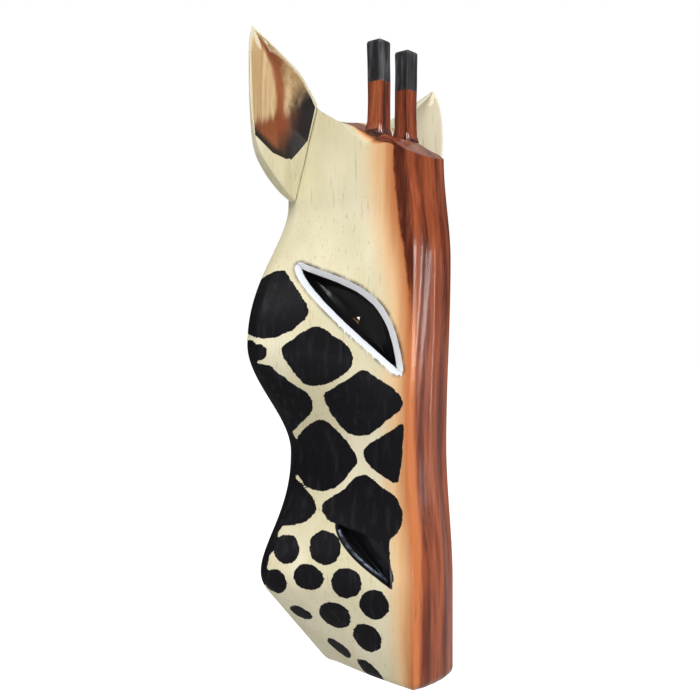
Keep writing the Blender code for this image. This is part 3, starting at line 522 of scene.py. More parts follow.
def half_width(height):
    side = plan(height, WIDTH_PLAN)
    chin = CHIN_HALF + (height - CHIN) * CHIN_SLOPE
    share = np.clip(0.5 + 0.5 * (side - chin) / CHIN_BLEND, 0.0, 1.0)
    return side * (1 - share) + chin * share - CHIN_BLEND * share * (1 - share)


def edge_depth(height):
    return plan(height, DEPTH_PLAN)


def cheek_frame(height):
    """Where the cheek starts, and the directions along it and out of it, as (x, depth)."""
    width, depth = half_width(height), edge_depth(height)
    run, rise = width - RIDGE, RIM - depth
    length = np.hypot(run, rise)
    return (RIDGE, depth), (run / length, rise / length), (-rise / length, run / length), length


def on_cheek(across, height, outwards=0.0):
    (x, depth), along, out, length = cheek_frame(height)
    share = across / length
    lift = outwards + BULGE * 4 * share * (1 - share)
    return Vector((x + along[0] * across + out[0] * lift, -depth - along[1] * across - out[1] * lift, height))


block_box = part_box("face_block")
print("half width at the eyes:", round(float(half_width(EYE_LEVEL)), 4), "frame box:", block_box)

# %% [markdown]
# ## The block
# The outside of the block is one sheet that wraps half of the head: from the middle of the back, round the
# rim, along the cheek and over the ridge to the middle again. A flat grid is added and its points are laid
# on the plan. The first and last rows close the chin and the crown, and a mirror makes the other half. A
# knife leaves shallow ripples, so the sheet is never quite even.

# %% Lay a grid on the plan
CHEEK_COLUMNS = 72
ROW_STEP = 0.00145
CROWN_SLOPE, CROWN_BREAK = math.tan(math.radians(19.5)), 0.072
HORN_SPACING, HORN_SIDE, HORN_DEPTH = 0.035, 0.0143, 0.0615
DIP, DIP_PLACE, DIP_SPAN, DIP_START, DIP_WIDTH = 0.011, 0.063, 0.024, 0.004, 0.014
EAR_RISE_TOP, EAR_RISE_FALL, EAR_RISE_WIDTH, EAR_RISE_DEPTH = 0.046, 0.26, 0.009, 0.028
CHEEK_START = 0.012
RIDGE_COLUMNS, RIDGE_FLAT = 14, 0.90
CROWN_LADDER, CROWN_STEPS, CLOSING_STEPS = 160, 42, 34


def crown_height(x, depth):
    """The top of the head: it falls forward, dips beside the horns and rises to the ears."""
    height = CROWN_BACK - CROWN_SLOPE * np.minimum(depth, CROWN_BREAK)
    at_break = CROWN_BACK - CROWN_SLOPE * CROWN_BREAK
    brow_slope = (at_break - BROW) / (BROW_DEPTH - CROWN_BREAK)
    height = height - brow_slope * np.maximum(depth - CROWN_BREAK, 0.0)
    dip = np.cos(np.minimum(np.abs(depth - DIP_PLACE) / DIP_SPAN, 1.0) * math.pi / 2) ** 2
    height = height - DIP * dip * smooth((x - (HORN_SPACING + HORN_SIDE) / 2 + DIP_START) / DIP_WIDTH)
    start = (CROWN_HALF - EAR_RISE_WIDTH) * smooth(depth / EAR_RISE_DEPTH)
    rise = smooth((x - start) / (CROWN_HALF - start))
    return height + np.maximum(EAR_RISE_TOP - EAR_RISE_FALL * depth - height, 0.0) * rise


def knife_ripple(across, height):
    """Shallow facets left by the knife, along and across the grain."""
    long_cuts = np.sin(across / 0.0093 + 1.1 * np.sin(height / 0.047))
    long_cuts = long_cuts * np.sin(height / 0.038 + across / 0.021)
    short_cuts = np.sin(height / 0.0117 + 2.3 * np.sin(across / 0.016)) * np.sin(across / 0.0185 + 0.7)
    return 0.00022 * long_cuts + 0.00012 * short_cuts


def section(height):
    """Half of the level section at each height: the columns' (x, depth), one row for each height."""
    height = np.asarray(height, float)[:, None]
    width, depth = half_width(height), edge_depth(height)
    run, rise = width - RIDGE, RIM - depth
    length = np.hypot(run, rise)
    x, d = [], []
    corner = width - RIM_ROUND
    for share in (0.0, 0.35, 0.65, 0.88):
        x.append(corner * share)
        d.append(0 * width)
    for angle in (0.0, 0.5, 1.05, math.pi / 2):
        x.append(corner + RIM_ROUND * math.sin(angle))
        d.append(RIM_ROUND * (1 - math.cos(angle)) + 0 * width)
    for share in (0.33, 0.67):
        x.append(width)
        d.append(RIM_ROUND + (RIM - 2.2 * RIM_ROUND) * share + 0 * width)
    for step in range(CHEEK_COLUMNS + 1):
        share = 1 - (CHEEK_START + (1 - CHEEK_START - RIDGE_ROUND / length) * step / CHEEK_COLUMNS)
        ripple = knife_ripple(share * length, height) * np.minimum(1, 12 * (1 - share))
        lift = BULGE * 4 * share * (1 - share) + ripple
        x.append(RIDGE + run * share - rise / length * lift)
        d.append(depth + rise * share + run / length * lift)
    for place, sink in ((0.9985, 0.28), (0.985, 0.0), (0.955, -0.24), (0.92, -0.38)):
        x.append(RIDGE * place + 0 * width)
        d.append(depth - sink * 0.0016)
    for step in range(1, RIDGE_COLUMNS + 1):
        place = RIDGE_FLAT * (1 - step / RIDGE_COLUMNS)
        waver = 0.0006 * np.sin(height / 0.052 + 5 * place) * math.sin(math.pi * place / RIDGE_FLAT)
        x.append(RIDGE * place + 0 * width)
        d.append(depth + RIDGE_CROWN * (1 - place**1.6) + waver)
    return np.concatenate(x, 1), np.concatenate(d, 1)


def drawn_in(edge_x, edge_y, share):
    """Draws the end of the sheet in to a line down the middle, so that it closes without folding."""
    line = edge_y[-1] * np.linspace(0, 1, len(edge_y))
    return edge_x * share, edge_y * share + line * (1 - share)


def face_rows():
    """Every row's points as (x, y, z), from the middle of the chin's underside to the middle of the crown."""
    rows = []
    for angle in (0.0, 0.3, 0.6, 0.9, 1.2, 1.4):
        above = CHIN_ROUND * (1 - math.cos(angle))
        inset = CHIN_ROUND - math.sqrt(CHIN_ROUND**2 - (CHIN_ROUND - above) ** 2)
        x, d = section([CHIN + above])
        x = x * (1 - 0.4 * inset / half_width(CHIN + above))
        d = d * (1 - inset / (LIP_DEPTH + RIDGE_CROWN))
        rows.append((x[0], -d[0], np.full(x.shape[1], CHIN + above)))
    edge_x, edge_y, level = rows[0]
    rows = [(*drawn_in(edge_x, edge_y, f), level) for f in (0.0, 0.35, 0.7)] + rows
    start = CHIN + CHIN_ROUND
    heights = np.linspace(start, FOREHEAD, round((FOREHEAD - start) / ROW_STEP))
    x, d = section(heights)
    rows += [(x[i], -d[i], np.full(x.shape[1], heights[i])) for i in range(len(heights))]
    ladder = np.linspace(FOREHEAD, 0.05, CROWN_LADDER)
    lx, ld = section(ladder)
    columns = range(lx.shape[1])
    top = np.full(len(columns), 0.0)
    for _ in range(8):
        tx = np.array([np.interp(top[c], ladder, lx[:, c]) for c in columns])
        td = np.array([np.interp(top[c], ladder, ld[:, c]) for c in columns])
        top = crown_height(tx, td)
    for step in range(1, CROWN_STEPS + 1):
        here = FOREHEAD + (top - FOREHEAD) * step / CROWN_STEPS
        tx = np.array([np.interp(here[c], ladder, lx[:, c]) for c in columns])
        td = np.array([np.interp(here[c], ladder, ld[:, c]) for c in columns])
        rows.append((tx, -td, here))
    edge_x, edge_y, _ = rows[-1]
    for f in np.linspace(1, 0, CLOSING_STEPS)[1:]:
        tx, ty = drawn_in(edge_x, edge_y, f)
        rows.append((tx, ty, crown_height(tx, -ty)))
    return rows


rows = face_rows()
columns = len(rows[0][0])
bpy.ops.object.select_all(action="DESELECT")
bpy.ops.mesh.primitive_grid_add(x_subdivisions=columns - 1, y_subdivisions=len(rows) - 1, size=1)
face = bpy.context.object
face.name = face.data.name = "painted_face"
flat = places_of(face)
column = np.rint((flat[:, 0] + 0.5) * (columns - 1)).astype(int)
row = np.rint((flat[:, 1] + 0.5) * (len(rows) - 1)).astype(int)
sheet = np.array(rows)
placed = sheet[row, :, column]
face.data.vertices.foreach_set("co", placed.astype(np.float32).ravel())
face.data.materials.append(painted_face)
mirror = face.modifiers.new("other half", "MIRROR")
mirror.merge_threshold = 0.00001
apply_modifiers(face)
clean(face)
tell(face)

# %% [markdown]
# ## Carving the block
# The carver hollows the block from behind, so that it dries without splitting and hangs light. The eye is a
# dished leaf with a bevel round it, and one small slit at its bottom breaks through to the hollow. The
# nostril is a groove with a V section. The ears' seats are sawn flat. Each cut is a Boolean with a lofted
# shape, and the new faces keep that shape's finish, which is how the hollow stays bare wood.

# %% The leaf shapes of the eye and the nostril
EYE = {"corner": (0.088, -0.084), "angle": math.radians(45.3), "length": 0.119, "rise": 0.0245, "drop": 0.009}
NOSTRIL = {
    "corner": (0.057, -0.2795), "angle": math.radians(49.8), "length": 0.0635, "rise": 0.015, "drop": 0.007,
}
EYE_BEVEL, EYE_DEPTH, NOSTRIL_DEPTH = 0.0045, 0.0115, 0.009
UPPER_SKEW, LOWER_SKEW = 1.15, 0.62


def leaf(length, rise, drop, steps=36):
    """A leaf between two corners: its upper edge, then back along its lower edge."""
    shares = [i / steps for i in range(steps + 1)]
    upper = [(length * t, rise * math.sin(math.pi * t**UPPER_SKEW)) for t in shares]
    lower = [(length * t, -drop * math.sin(math.pi * t**LOWER_SKEW)) for t in reversed(shares)]
    return upper + lower[1:-1]


def grown(outline, amount):
    moved = []
    for i, point in enumerate(outline):
        before, after = Vector(outline[i - 1]), Vector(outline[(i + 1) % len(outline)])
        along = (after - before).normalized()
        moved.append(Vector(point) + Vector((-along.y, along.x)) * amount)
    return moved


def laid(outline, leaf_place, outwards, side):
    """An outline in a leaf's own (along, up) plane, laid on the cheek."""
    across, height = leaf_place["corner"]
    turn_cos, turn_sin = math.cos(leaf_place["angle"]), math.sin(leaf_place["angle"])
    ring = []
    for along, up in outline:
        point_across = across - along * turn_cos - up * turn_sin
        point_height = height - along * turn_sin + up * turn_cos
        point = on_cheek(point_across, point_height, outwards)
        ring.append(Vector((side * point.x, point.y, point.z)))
    return ring


def eye_opening():
    """The leaf that the socket's black paint fills, inside the white bevel."""
    inner = leaf(EYE["length"] - 2.6 * EYE_BEVEL, EYE["rise"] - EYE_BEVEL, EYE["drop"] - EYE_BEVEL)
    return [(along + 1.3 * EYE_BEVEL, up) for along, up in inner]


def eye_shape(side):
    opening = eye_opening()
    middle = EYE["length"] / 2

    def shrunk(share):
        narrow, low = 1 - 0.28 * share, 1 - 0.65 * share
        return [(middle + (a - middle) * narrow, u * low + 0.0018 * share) for a, u in opening]

    rings = [
        laid(shrunk(1.9), EYE, -EYE_DEPTH, side),
        laid(shrunk(1.0), EYE, -EYE_DEPTH, side),
        laid(shrunk(0.55), EYE, -0.86 * EYE_DEPTH, side),
        laid(shrunk(0.2), EYE, -0.62 * EYE_DEPTH, side),
        laid(opening, EYE, -EYE_BEVEL, side),
        laid(grown(opening, EYE_BEVEL + 0.004), EYE, 0.004, side),
    ]
    return through_rings("eye shape", rings, painted_face)


def slit_shape(side):
    """A small cut in the socket's floor, which slants through to the hollow."""
    at = EYE["length"] * 0.50
    outline = [(at + 0.001, 0.0), (at + 0.0045, 0.0045), (at + 0.008, 0.0)]
    behind = [(along + 0.002, up + 0.0095) for along, up in outline]
    rings = [laid(behind, EYE, -0.032, side), laid(outline, EYE, -EYE_BEVEL, side)]
    return through_rings("slit shape", rings, bare_wood)


def nostril_shape(side):
    """A groove with a V section, in enough rings for its painted line to follow."""
    outline = leaf(NOSTRIL["length"], NOSTRIL["rise"], NOSTRIL["drop"])
    above = 0.003
    middle = NOSTRIL["length"] / 2
    rings = []
    for t in (0.0, 0.15, 0.3, 0.45, 0.6, 0.7, 0.8, 0.9, 1.0):
        narrow = 0.04 + (1 + above / NOSTRIL_DEPTH - 0.04) * t
        ring = [(middle + (a - middle) * (0.75 + 0.25 * t), u * narrow) for a, u in outline]
        rings.append(laid(ring, NOSTRIL, -NOSTRIL_DEPTH + (NOSTRIL_DEPTH + above) * t, side))
    return through_rings("nostril shape", rings, painted_face)


print("leaf lengths: eye", EYE["length"], "and nostril", NOSTRIL["length"])

# %% The hollow, the hanger's recess and the ears' seats
WALL, RIDGE_WALL = 0.016, 0.020
HOLLOW_TOP, HOLLOW_BOTTOM = -0.0635, -0.352
RECESS_HALF, RECESS_TOP, RECESS_BOTTOM, RECESS_DEPTH = 0.017, 0.010, -0.056, 0.009
SEAT, SEAT_HEIGHT, SEAT_LEAN = 0.0534, -0.009, math.radians(6.0)
EAR_REACH, EAR_LENGTH, EAR_ROOT = 0.0675, 0.119, -0.0345
GAP = 0.0003


def hollow_shape():
    """Level rings that leave a wall along the cheeks and a thicker one behind the ridge."""
    rings = []
    middle, half = (HOLLOW_TOP + HOLLOW_BOTTOM) / 2, (HOLLOW_TOP - HOLLOW_BOTTOM) / 2
    for step in range(61):
        t = -0.995 * math.cos(math.pi * step / 60)
        height = middle + half * t
        length = cheek_frame(height)[3]
        full = (1 - abs(t) ** 4) ** 0.25
        rim = on_cheek(0.97 * length, height, -WALL)
        bridge = on_cheek(0.22 * length, height, -WALL)
        floor = float(edge_depth(height)) - RIDGE_WALL
        half_ring = [Vector((rim.x * full, 0.004, height))]
        half_ring.append(Vector((rim.x * full, min(rim.y, -0.002) * full, height)))
        for share in (0.35, 0.7, 1.0):
            x, y = rim.x + (bridge.x - rim.x) * share, rim.y + (bridge.y - rim.y) * share
            half_ring.append(Vector((x, y, 0)) * full)
        inner_y = 0.35 * bridge.y - 0.65 * floor
        half_ring.append(Vector((bridge.x * 0.55, inner_y, 0)) * full)
        half_ring.append(Vector((bridge.x * 0.25, inner_y * 0.25 - floor * 0.75, 0)) * full)
        ring = [Vector((p.x, p.y, height)) for p in half_ring]
        ring.append(Vector((0.0, -floor * full, height)))
        ring += [Vector((-p.x, p.y, p.z)) for p in reversed(ring[:-1])]
        rings.append(ring)
    return through_rings("hollow shape", rings, bare_wood)


def recess_shape():
    outline = []
    for centre, start in ((RECESS_TOP - RECESS_HALF, 0.0), (RECESS_BOTTOM + RECESS_HALF, math.pi)):
        for i in range(17):
            angle = start + math.pi * i / 16
            outline.append((RECESS_HALF * math.cos(angle), centre + RECESS_HALF * math.sin(angle)))
    rings = [[Vector((x, y, z)) for x, z in outline] for y in (-RECESS_DEPTH, 0.004)]
    return through_rings("recess shape", rings, bare_wood)


def seat_x(height):
    return SEAT - (height - SEAT_HEIGHT) * math.tan(SEAT_LEAN)


def ear_seat_shape(side):
    """A wedge whose inner face is the saw cut that the ear is glued to."""
    low, high, far = EAR_ROOT - GAP, 0.12, 0.15
    outline = [(seat_x(low), low), (far, low), (far, high), (seat_x(high), high)]
    rings = [[Vector((side * x, y, z)) for x, z in outline] for y in (-0.15, 0.05)]
    return through_rings("ear seat shape", rings, bare_wood)


cut(face, hollow_shape(), recess_shape())
for side, _ in SIDES:
    cut(face, eye_shape(side), slit_shape(side), nostril_shape(side), ear_seat_shape(side))
clean(face, 3e-6)
tell(face)

# %% [markdown]
# ## Laying out the paint
# The painter works on the cheek, so the paint is laid out there: `across` runs from the ridge's edge to the
# rim, and heights are the mask's own. Each patch is a short list of corners in millimetres, rounded by
# cutting its corners twice, and each dot is an ellipse. For every point of the mesh the signed distance to
# the nearest outline is stored, negative inside.

# %% Outlines of patches and dots, in millimetres
PATCHES = {
    "nostril": [
        (9, -270), (10.6, -284), (17.5, -292.3), (16.8, -308), (15.4, -313), (15.2, -327),
        (24, -319), (44, -300), (57, -279), (40, -266),
    ],
    "brow": [
        (113, -95.5), (102.5, -89.5), (94.5, -90), (89.5, -99.5), (81.5, -109), (75, -119),
        (77, -126), (86.5, -135), (99.5, -141), (109, -141.5), (121, -139), (132, -128),
        (132, -112), (123, -101),
    ],
    "small": [
        (130, -145), (111, -145), (106, -149), (106, -156), (113, -158.5), (130, -158.5),
    ],
    "under eye": [
        (96.5, -149.5), (91.5, -145), (81, -137.5), (71.5, -132), (64.5, -133.5), (54.5, -141),
        (44.5, -147), (41.5, -156), (42.5, -163.5), (51.5, -171), (61, -176), (71, -177.5),
        (80, -174.5), (88, -164),
    ],
    "cheek rim": [
        (128, -160), (103, -160.5), (98.5, -166.5), (86, -175.5), (75, -183), (71.5, -191),
        (75, -199), (87, -208.5), (94, -213), (125, -217),
    ],
    "cheek": [
        (65, -184.5), (55.5, -178), (44.5, -171.5), (37.5, -165.5), (31.5, -165), (22.5, -171.5),
        (10, -179), (4, -186.5), (4, -194), (12, -200), (23.5, -209.5), (31.5, -215), (41, -215),
        (49, -211.5), (56, -202.5),
    ],
    "waist": [
        (118, -223), (93, -222), (86, -213.5), (73.5, -204.5), (65, -202.5), (57.5, -208.5),
        (48, -219), (39, -231), (40, -236.5), (46, -243), (51, -249), (58.5, -255.5), (68, -258),
        (76.5, -258), (85.5, -254.5), (94, -242), (118, -244),
    ],
    "ridge side": [
        (35, -227), (30.5, -221), (16, -213), (2, -202), (3, -221.5), (4.5, -237), (8, -251),
        (16.5, -246.5), (26, -240.5), (32, -234.5),
    ],
    "muzzle rim": [
        (118, -248), (94, -248.5), (85, -255.5), (76, -264), (72.5, -271), (75.5, -276.5),
        (82, -281.5), (93, -284), (118, -287),
    ],
    "nose": [
        (70, -270), (65.5, -264.5), (51.5, -256.5), (42, -246), (32.5, -243.5), (26, -249),
        (17, -255), (9, -260), (5, -271), (6, -279.5), (11, -287), (17.5, -292), (40, -287),
        (58.5, -281), (65, -278.5),
    ],
}
DOTS = [  # across, height, half sizes and tilt in degrees
    (95.5, -300.5, 10.2, 10.2, 0), (65.5, -298.5, 12.2, 12.2, 0), (105, -325, 9.6, 9.8, 0),
    (78.5, -320.5, 11.6, 9.8, 10), (50, -324, 11.3, 11.8, 0), (90, -352.5, 8.8, 5.8, 25),
    (61.5, -351.5, 12.5, 11.3, 0), (29.5, -340, 11.2, 11.8, 0), (38, -368, 11.8, 11.8, 0),
    (68.5, -383.5, 10.8, 6.6, 35), (43.5, -397.5, 12.0, 7.6, 30),
]


def rounded(corners, times=2):
    for _ in range(times):
        points = np.array(corners, float)
        following = np.roll(points, -1, axis=0)
        near, far = 0.78 * points + 0.22 * following, 0.22 * points + 0.78 * following
        corners = np.stack([near, far], 1).reshape(-1, 2)
    return corners


def distance_to_line(points, line, closed=True):
    """The distance from each point to a line of corners."""
    line = np.asarray(line, float)
    ends = np.roll(line, -1, axis=0) if closed else line[1:]
    best = np.full(len(points), 1e9)
    for start, end in zip(line, ends):
        run = end - start
        share = np.clip(((points - start) @ run) / (run @ run + 1e-12), 0, 1)
        best = np.minimum(best, np.hypot(*(points - start - share[:, None] * run).T))
    return best


def signed_distance(points, outline):
    """Distance to a closed outline, negative inside it."""
    outline = np.asarray(outline, float)
    inside = np.zeros(len(points), bool)
    for (x0, y0), (x1, y1) in zip(outline, np.roll(outline, -1, axis=0)):
        if y0 != y1:
            crosses = (y0 > points[:, 1]) != (y1 > points[:, 1])
            inside ^= crosses & (points[:, 0] < x0 + (points[:, 1] - y0) * (x1 - x0) / (y1 - y0))
    return np.where(inside, -1, 1) * distance_to_line(points, outline)


def leaf_distance(across, height, leaf_place, outline):
    """(signed distance, along, up) in millimetres, in a leaf's own plane."""
    corner_across, corner_height = leaf_place["corner"]
    left, rise = corner_across - across, height - corner_height
    turn_cos, turn_sin = math.cos(leaf_place["angle"]), math.sin(leaf_place["angle"])
    along, up = left * turn_cos - rise * turn_sin, left * turn_sin + rise * turn_cos
    points = np.stack([along, up], 1) / MM
    return signed_distance(points, np.array(outline) / MM), along / MM, up / MM


print("outlines on each cheek:", len(PATCHES), "patches and", len(DOTS), "dots")

# %% Store the distances on the face
BAND_MIDDLE, BAND_HALF, BAND_INSET = -236, 93, 0.8  # the black band along the rim, beside the patches
STAIN_EDGE, STAIN_SPREAD = 0.2, 8.3  # the stain's edge on the cheek below, and how much wider it is above
FADE_BELOW, FADE_ABOVE, FADE_FULL = 20.0, 4.0, 22.0
CROWN_STAIN_DEPTHS, CROWN_STAIN = (30, 45, 62, 75, 95), (30.0, 26.5, 27.0, 33.0, 35.0)
# How far inside the nostril's lower edge the painted highlight line runs, in millimetres.
LIP_HIGHLIGHT_INSET = 2.0


def paint_face(obj):
    places = places_of(obj)
    side, depth, height = np.abs(places[:, 0]), -places[:, 1], places[:, 2]
    width, edge = half_width(height), edge_depth(height)
    run, rise = width - RIDGE, RIM - edge
    length = np.hypot(run, rise)
    across = ((side - RIDGE) * run + (depth - edge) * rise) / length
    on_ridge = (side < RIDGE) & (depth > edge - 0.0025)
    across = np.where(on_ridge, side - RIDGE, across)
    across = np.where(depth < RIM - 0.0008, np.maximum(across, length + RIM - depth), across)
    points = np.stack([across, height], 1) / MM
    patch = np.full(len(points), 1e3)
    for corners in PATCHES.values():
        patch = np.minimum(patch, signed_distance(points, rounded(corners)))
    for at_across, at_height, half_a, half_b, tilt in DOTS:
        angle = math.radians(tilt)
        dx, dy = points[:, 0] - at_across, points[:, 1] - at_height
        u = dx * math.cos(angle) + dy * math.sin(angle)
        v = -dx * math.sin(angle) + dy * math.cos(angle)
        patch = np.minimum(patch, (np.hypot(u / half_a, v / half_b) - 1) * min(half_a, half_b))
    band = np.maximum((length - across) / MM + BAND_INSET, np.abs(points[:, 1] - BAND_MIDDLE) - BAND_HALF)
    patch = np.minimum(patch, band)
    write_attribute(obj, "patch", patch)
    write_attribute(obj, "from_back", depth / MM)

    eye, along, up = leaf_distance(across, height, EYE, eye_opening())
    for name, values in (("eye", eye), ("eye_along", along), ("eye_up", up)):
        write_attribute(obj, name, values)
    groove = leaf(NOSTRIL["length"], NOSTRIL["rise"], NOSTRIL["drop"])
    nostril, along, up = leaf_distance(across, height, NOSTRIL, groove)
    write_attribute(obj, "nostril", nostril)
    # The "lip" distance places the painted highlight line along the nostril's lower lip.
    share = along / (NOSTRIL["length"] / MM)
    lower = -NOSTRIL["drop"] / MM * np.sin(np.pi * np.clip(share, 0, 1) ** LOWER_SKEW)
    past_ends = (np.abs(share - 0.50) - 0.40) * NOSTRIL["length"] / MM
    write_attribute(obj, "lip", np.maximum(np.abs(up - lower - LIP_HIGHLIGHT_INSET), past_ends))

    upper = smooth((height + 0.13) / 0.09)
    brown_edge = STAIN_EDGE + STAIN_SPREAD * upper
    from_edge = across / MM - brown_edge
    on_top = (height > crown_height(side, depth) - 0.0012) & (height > FOREHEAD)
    reach = np.interp(depth / MM, CROWN_STAIN_DEPTHS, CROWN_STAIN)
    top_distance = side / MM - reach
    write_attribute(obj, "stain", np.where(on_top, top_distance, from_edge))
    fade_width = FADE_BELOW + FADE_ABOVE * upper
    fade = np.where(on_top, np.maximum(top_distance, 0) / (reach - FADE_FULL), from_edge / fade_width)
    write_attribute(obj, "fade", np.clip(fade, -1, 4))
    print("painted", len(points), "points; black patches cover", int((patch < 0).sum()))


paint_face(face)
shade(face, 30)
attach(face, "mask")
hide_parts("face_block")

# %% [markdown]
# ## The ears
# Each ear is carved from its own piece of wood, scooped out in front, pegged and glued to the sawn seat.
# Its outer edge is thin and its root is thick. The outline is drawn as shares of the ear's reach and
# length, and the scoop's outline runs a rim's width inside it. The scoop is painted tan, with an
# orange-brown rib from the tip, a brushed red-brown band near the root, and black along the joint and the
# bottom edge.

# %% The ear paints
def build_ear_finishes():
    outside, nodes, shader = new_finish("cream ear paint", 0.5, coat=0.2, coat_roughness=0.3)
    streaks, pores, height = grain(nodes)
    nodes.feed(shader.inputs["Base Color"], cream_colour(nodes, streaks, pores))
    nodes.feed(shader.inputs["Normal"], nodes.bump(height, 0.5, 0.00022))

    inside, nodes, shader = new_finish("sprayed ear paint", 0.5, coat=0.12, coat_roughness=0.25)
    streaks, pores = grain(nodes, 1.4)[0], grain(nodes)[1]
    uneven = nodes.minus(streaks, 0.5)
    rib, low, dark, lip = (nodes.attribute(name) for name in ("rib", "above_root", "dark_edge", "scoop"))
    tan = nodes.mix(nodes.ramp(streaks, 0.35, 0.68), (0.56, 0.37, 0.18, 1), (0.74, 0.57, 0.34, 1))
    rib_mask = nodes.ramp(nodes.plus(rib, nodes.times(uneven, 3.0)), 1.0, 4.6, 1.0, 0.0)
    colour = nodes.mix(rib_mask, tan, (0.34, 0.110, 0.034, 1))
    teeth = nodes.plus(low, nodes.times(uneven, 30.0))
    colour = nodes.mix(nodes.ramp(teeth, -3.0, 7.0, 0.95, 0.0), colour, (0.27, 0.070, 0.021, 1))
    near_black = nodes.ramp(nodes.plus(dark, nodes.times(uneven, 0.9)), 0.45, 1.85, 1.0, 0.0)
    colour = nodes.mix(near_black, colour, (0.010, 0.006, 0.005, 1))
    cream_edge = nodes.times(nodes.ramp(lip, -1.1, -0.4), nodes.ramp(low, 4.0, 14.0))
    colour = nodes.mix(cream_edge, colour, (0.80, 0.70, 0.50, 1))
    place = nodes.add("ShaderNodeTexCoord", output=3)
    outwards = nodes.ramp(nodes.add("ShaderNodeSeparateXYZ", {0: place}), 0.066, 0.084, 0.0, 0.85)
    colour = nodes.mix(outwards, colour, (0.60, 0.56, 0.43, 1))
    colour = nodes.mix(nodes.times(pores, 0.35), colour, (0.10, 0.045, 0.02, 1))
    nodes.feed(shader.inputs["Base Color"], colour)
    nodes.feed(shader.inputs["Normal"], nodes.bump(streaks, 0.6, 0.0003))
    return outside, inside


cream_ear, sprayed_ear = build_ear_finishes()
print("finishes:", cream_ear.name + ",", sprayed_ear.name)

# %% The ear's outline and its body
EAR_FRONT, EAR_BACK, EAR_RIM = 0.026, 0.003, 0.0012
JOINT_TOP = EAR_RISE_TOP - EAR_RISE_FALL * EAR_FRONT
EAR_SHARP, SCOOP_SHARP = {0, 4, 11, 12, 13}, {0, 4, 8, 9, 10, 11}  # corners that stay corners


def ear_place(out, up):
    """(x, height) from shares of the ear's reach out of the joint and of its length up from the root."""
    return np.array((SEAT + out * EAR_REACH, EAR_ROOT + up * EAR_LENGTH))


def joint_place(share):
    height = EAR_ROOT + (JOINT_TOP - EAR_ROOT) * share
    return np.array((seat_x(height), height))


def ear_corners():
    """(x, height, front depth, back depth): up the inner edge, down the outer edge and up the joint."""
    front, back = EAR_FRONT, EAR_BACK
    edge = [
        (joint_place(1.0), front, back),
        (ear_place(0.13, 0.718), front + 0.002, back + 0.008),
        (ear_place(0.32, 0.798), front + 0.003, back + 0.014),
        (ear_place(0.66, 0.920), front - 0.001, back + 0.0155),
        (ear_place(0.885, 1.0), front - 0.005, back + 0.0165),
        (ear_place(0.97, 0.899), front - 0.002, back + 0.0195),
        (ear_place(1.0, 0.714), front, back + 0.0212),
        (ear_place(0.98, 0.479), front, back + 0.0208),
        (ear_place(0.82, 0.273), front - 0.004, back + 0.013),
        (ear_place(0.57, 0.155), front - 0.008, back + 0.006),
        (ear_place(0.28, 0.055), front - 0.012, back + 0.002),
        (joint_place(0.0), front - 0.0165, back),
        (joint_place(0.345), front - 0.0105, back),
        (joint_place(0.67), front - 0.0055, back),
    ]
    return np.array([(*place, near, far) for place, near, far in edge])


def flowing(corners, sharp, steps=5):
    """A closed line through the corners, curved between them and turning sharply only at the ones listed."""
    count = len(corners)
    points = []
    for i in range(count):
        a, b = corners[i], corners[(i + 1) % count]
        before = a if i in sharp else corners[i - 1]
        after = b if (i + 1) % count in sharp else corners[(i + 2) % count]
        for step in range(steps):
            t = step / steps
            leave, arrive = (b - before) / 2, (after - a) / 2
            h = ((1 + 2 * t) * (1 - t) ** 2, t * (1 - t) ** 2, t * t * (3 - 2 * t), t * t * (t - 1))
            points.append(h[0] * a + h[1] * leave + h[2] * b + h[3] * arrive)
    return np.array(points)


def scoop_corners():
    front, rim = EAR_FRONT, EAR_RIM
    edge = [
        (joint_place(1.0) + np.array((1.6, -1.5)) * rim, front),
        (ear_place(0.14, 0.718) - np.array((0, 1.3)) * rim, front + 0.002),
        (ear_place(0.33, 0.798) - np.array((0, 1.3)) * rim, front + 0.003),
        (ear_place(0.65, 0.920) - np.array((0, 1.5)) * rim, front - 0.001),
        (ear_place(0.86, 1.0) - np.array((0, 2.0)) * rim, front - 0.005),
        (ear_place(0.97, 0.865) - np.array((1, 0)) * rim, front - 0.002),
        (ear_place(1.0, 0.714) - np.array((1, 0)) * rim, front),
        (ear_place(0.975, 0.487) - np.array((1, 0)) * rim, front),
        (ear_place(0.90, 0.335) - np.array((1, 0)) * rim, front - 0.003),
        (ear_place(0.55, 0.262), front - 0.0075),
        (ear_place(0.20, 0.240), front - 0.0105),
        (joint_place(0.63) + np.array((1.6, 0)) * rim, front - 0.0065),
    ]
    return np.array([(*place, near) for place, near in edge])


def ear_body(side):
    line = flowing(ear_corners(), EAR_SHARP)
    middle = ear_place(0.45, 0.55)
    at_middle = EAR_BACK + 0.0035

    def ring(share, front_share, even, depth_at_middle):
        places = []
        for x, height, near, far in line:
            at = np.array((x, height)) * (1 - share) + middle * share
            at[0] = max(at[0], seat_x(at[1]) + GAP / math.cos(SEAT_LEAN))
            depth = (far + (near - far) * front_share) * (1 - even) + depth_at_middle * even
            places.append(Vector((side * at[0], -depth, at[1])))
        return places

    back_shares = ((0.97, 1.0), (0.7, 0.8), (0.45, 0.55), (0.22, 0.25), (0.04, 0.0))
    back = [ring(share, 0.0, even, at_middle) for share, even in back_shares]
    wall = [ring(0.006, 0.12, 0, 0), ring(0.0, 0.3, 0, 0), ring(0.0, 0.88, 0, 0), ring(0.006, 0.97, 0, 0)]
    front = [ring(s, 1.0, e, 0.021) for s, e in ((0.02, 0), (0.2, 0.2), (0.45, 0.5), (0.7, 0.8), (0.97, 1.0))]
    return through_rings(f"ear_{side}", back + wall + front, cream_ear)


TIP_END, ROOT_END = ear_place(0.66, 0.93), ear_place(0.28, 0.52)


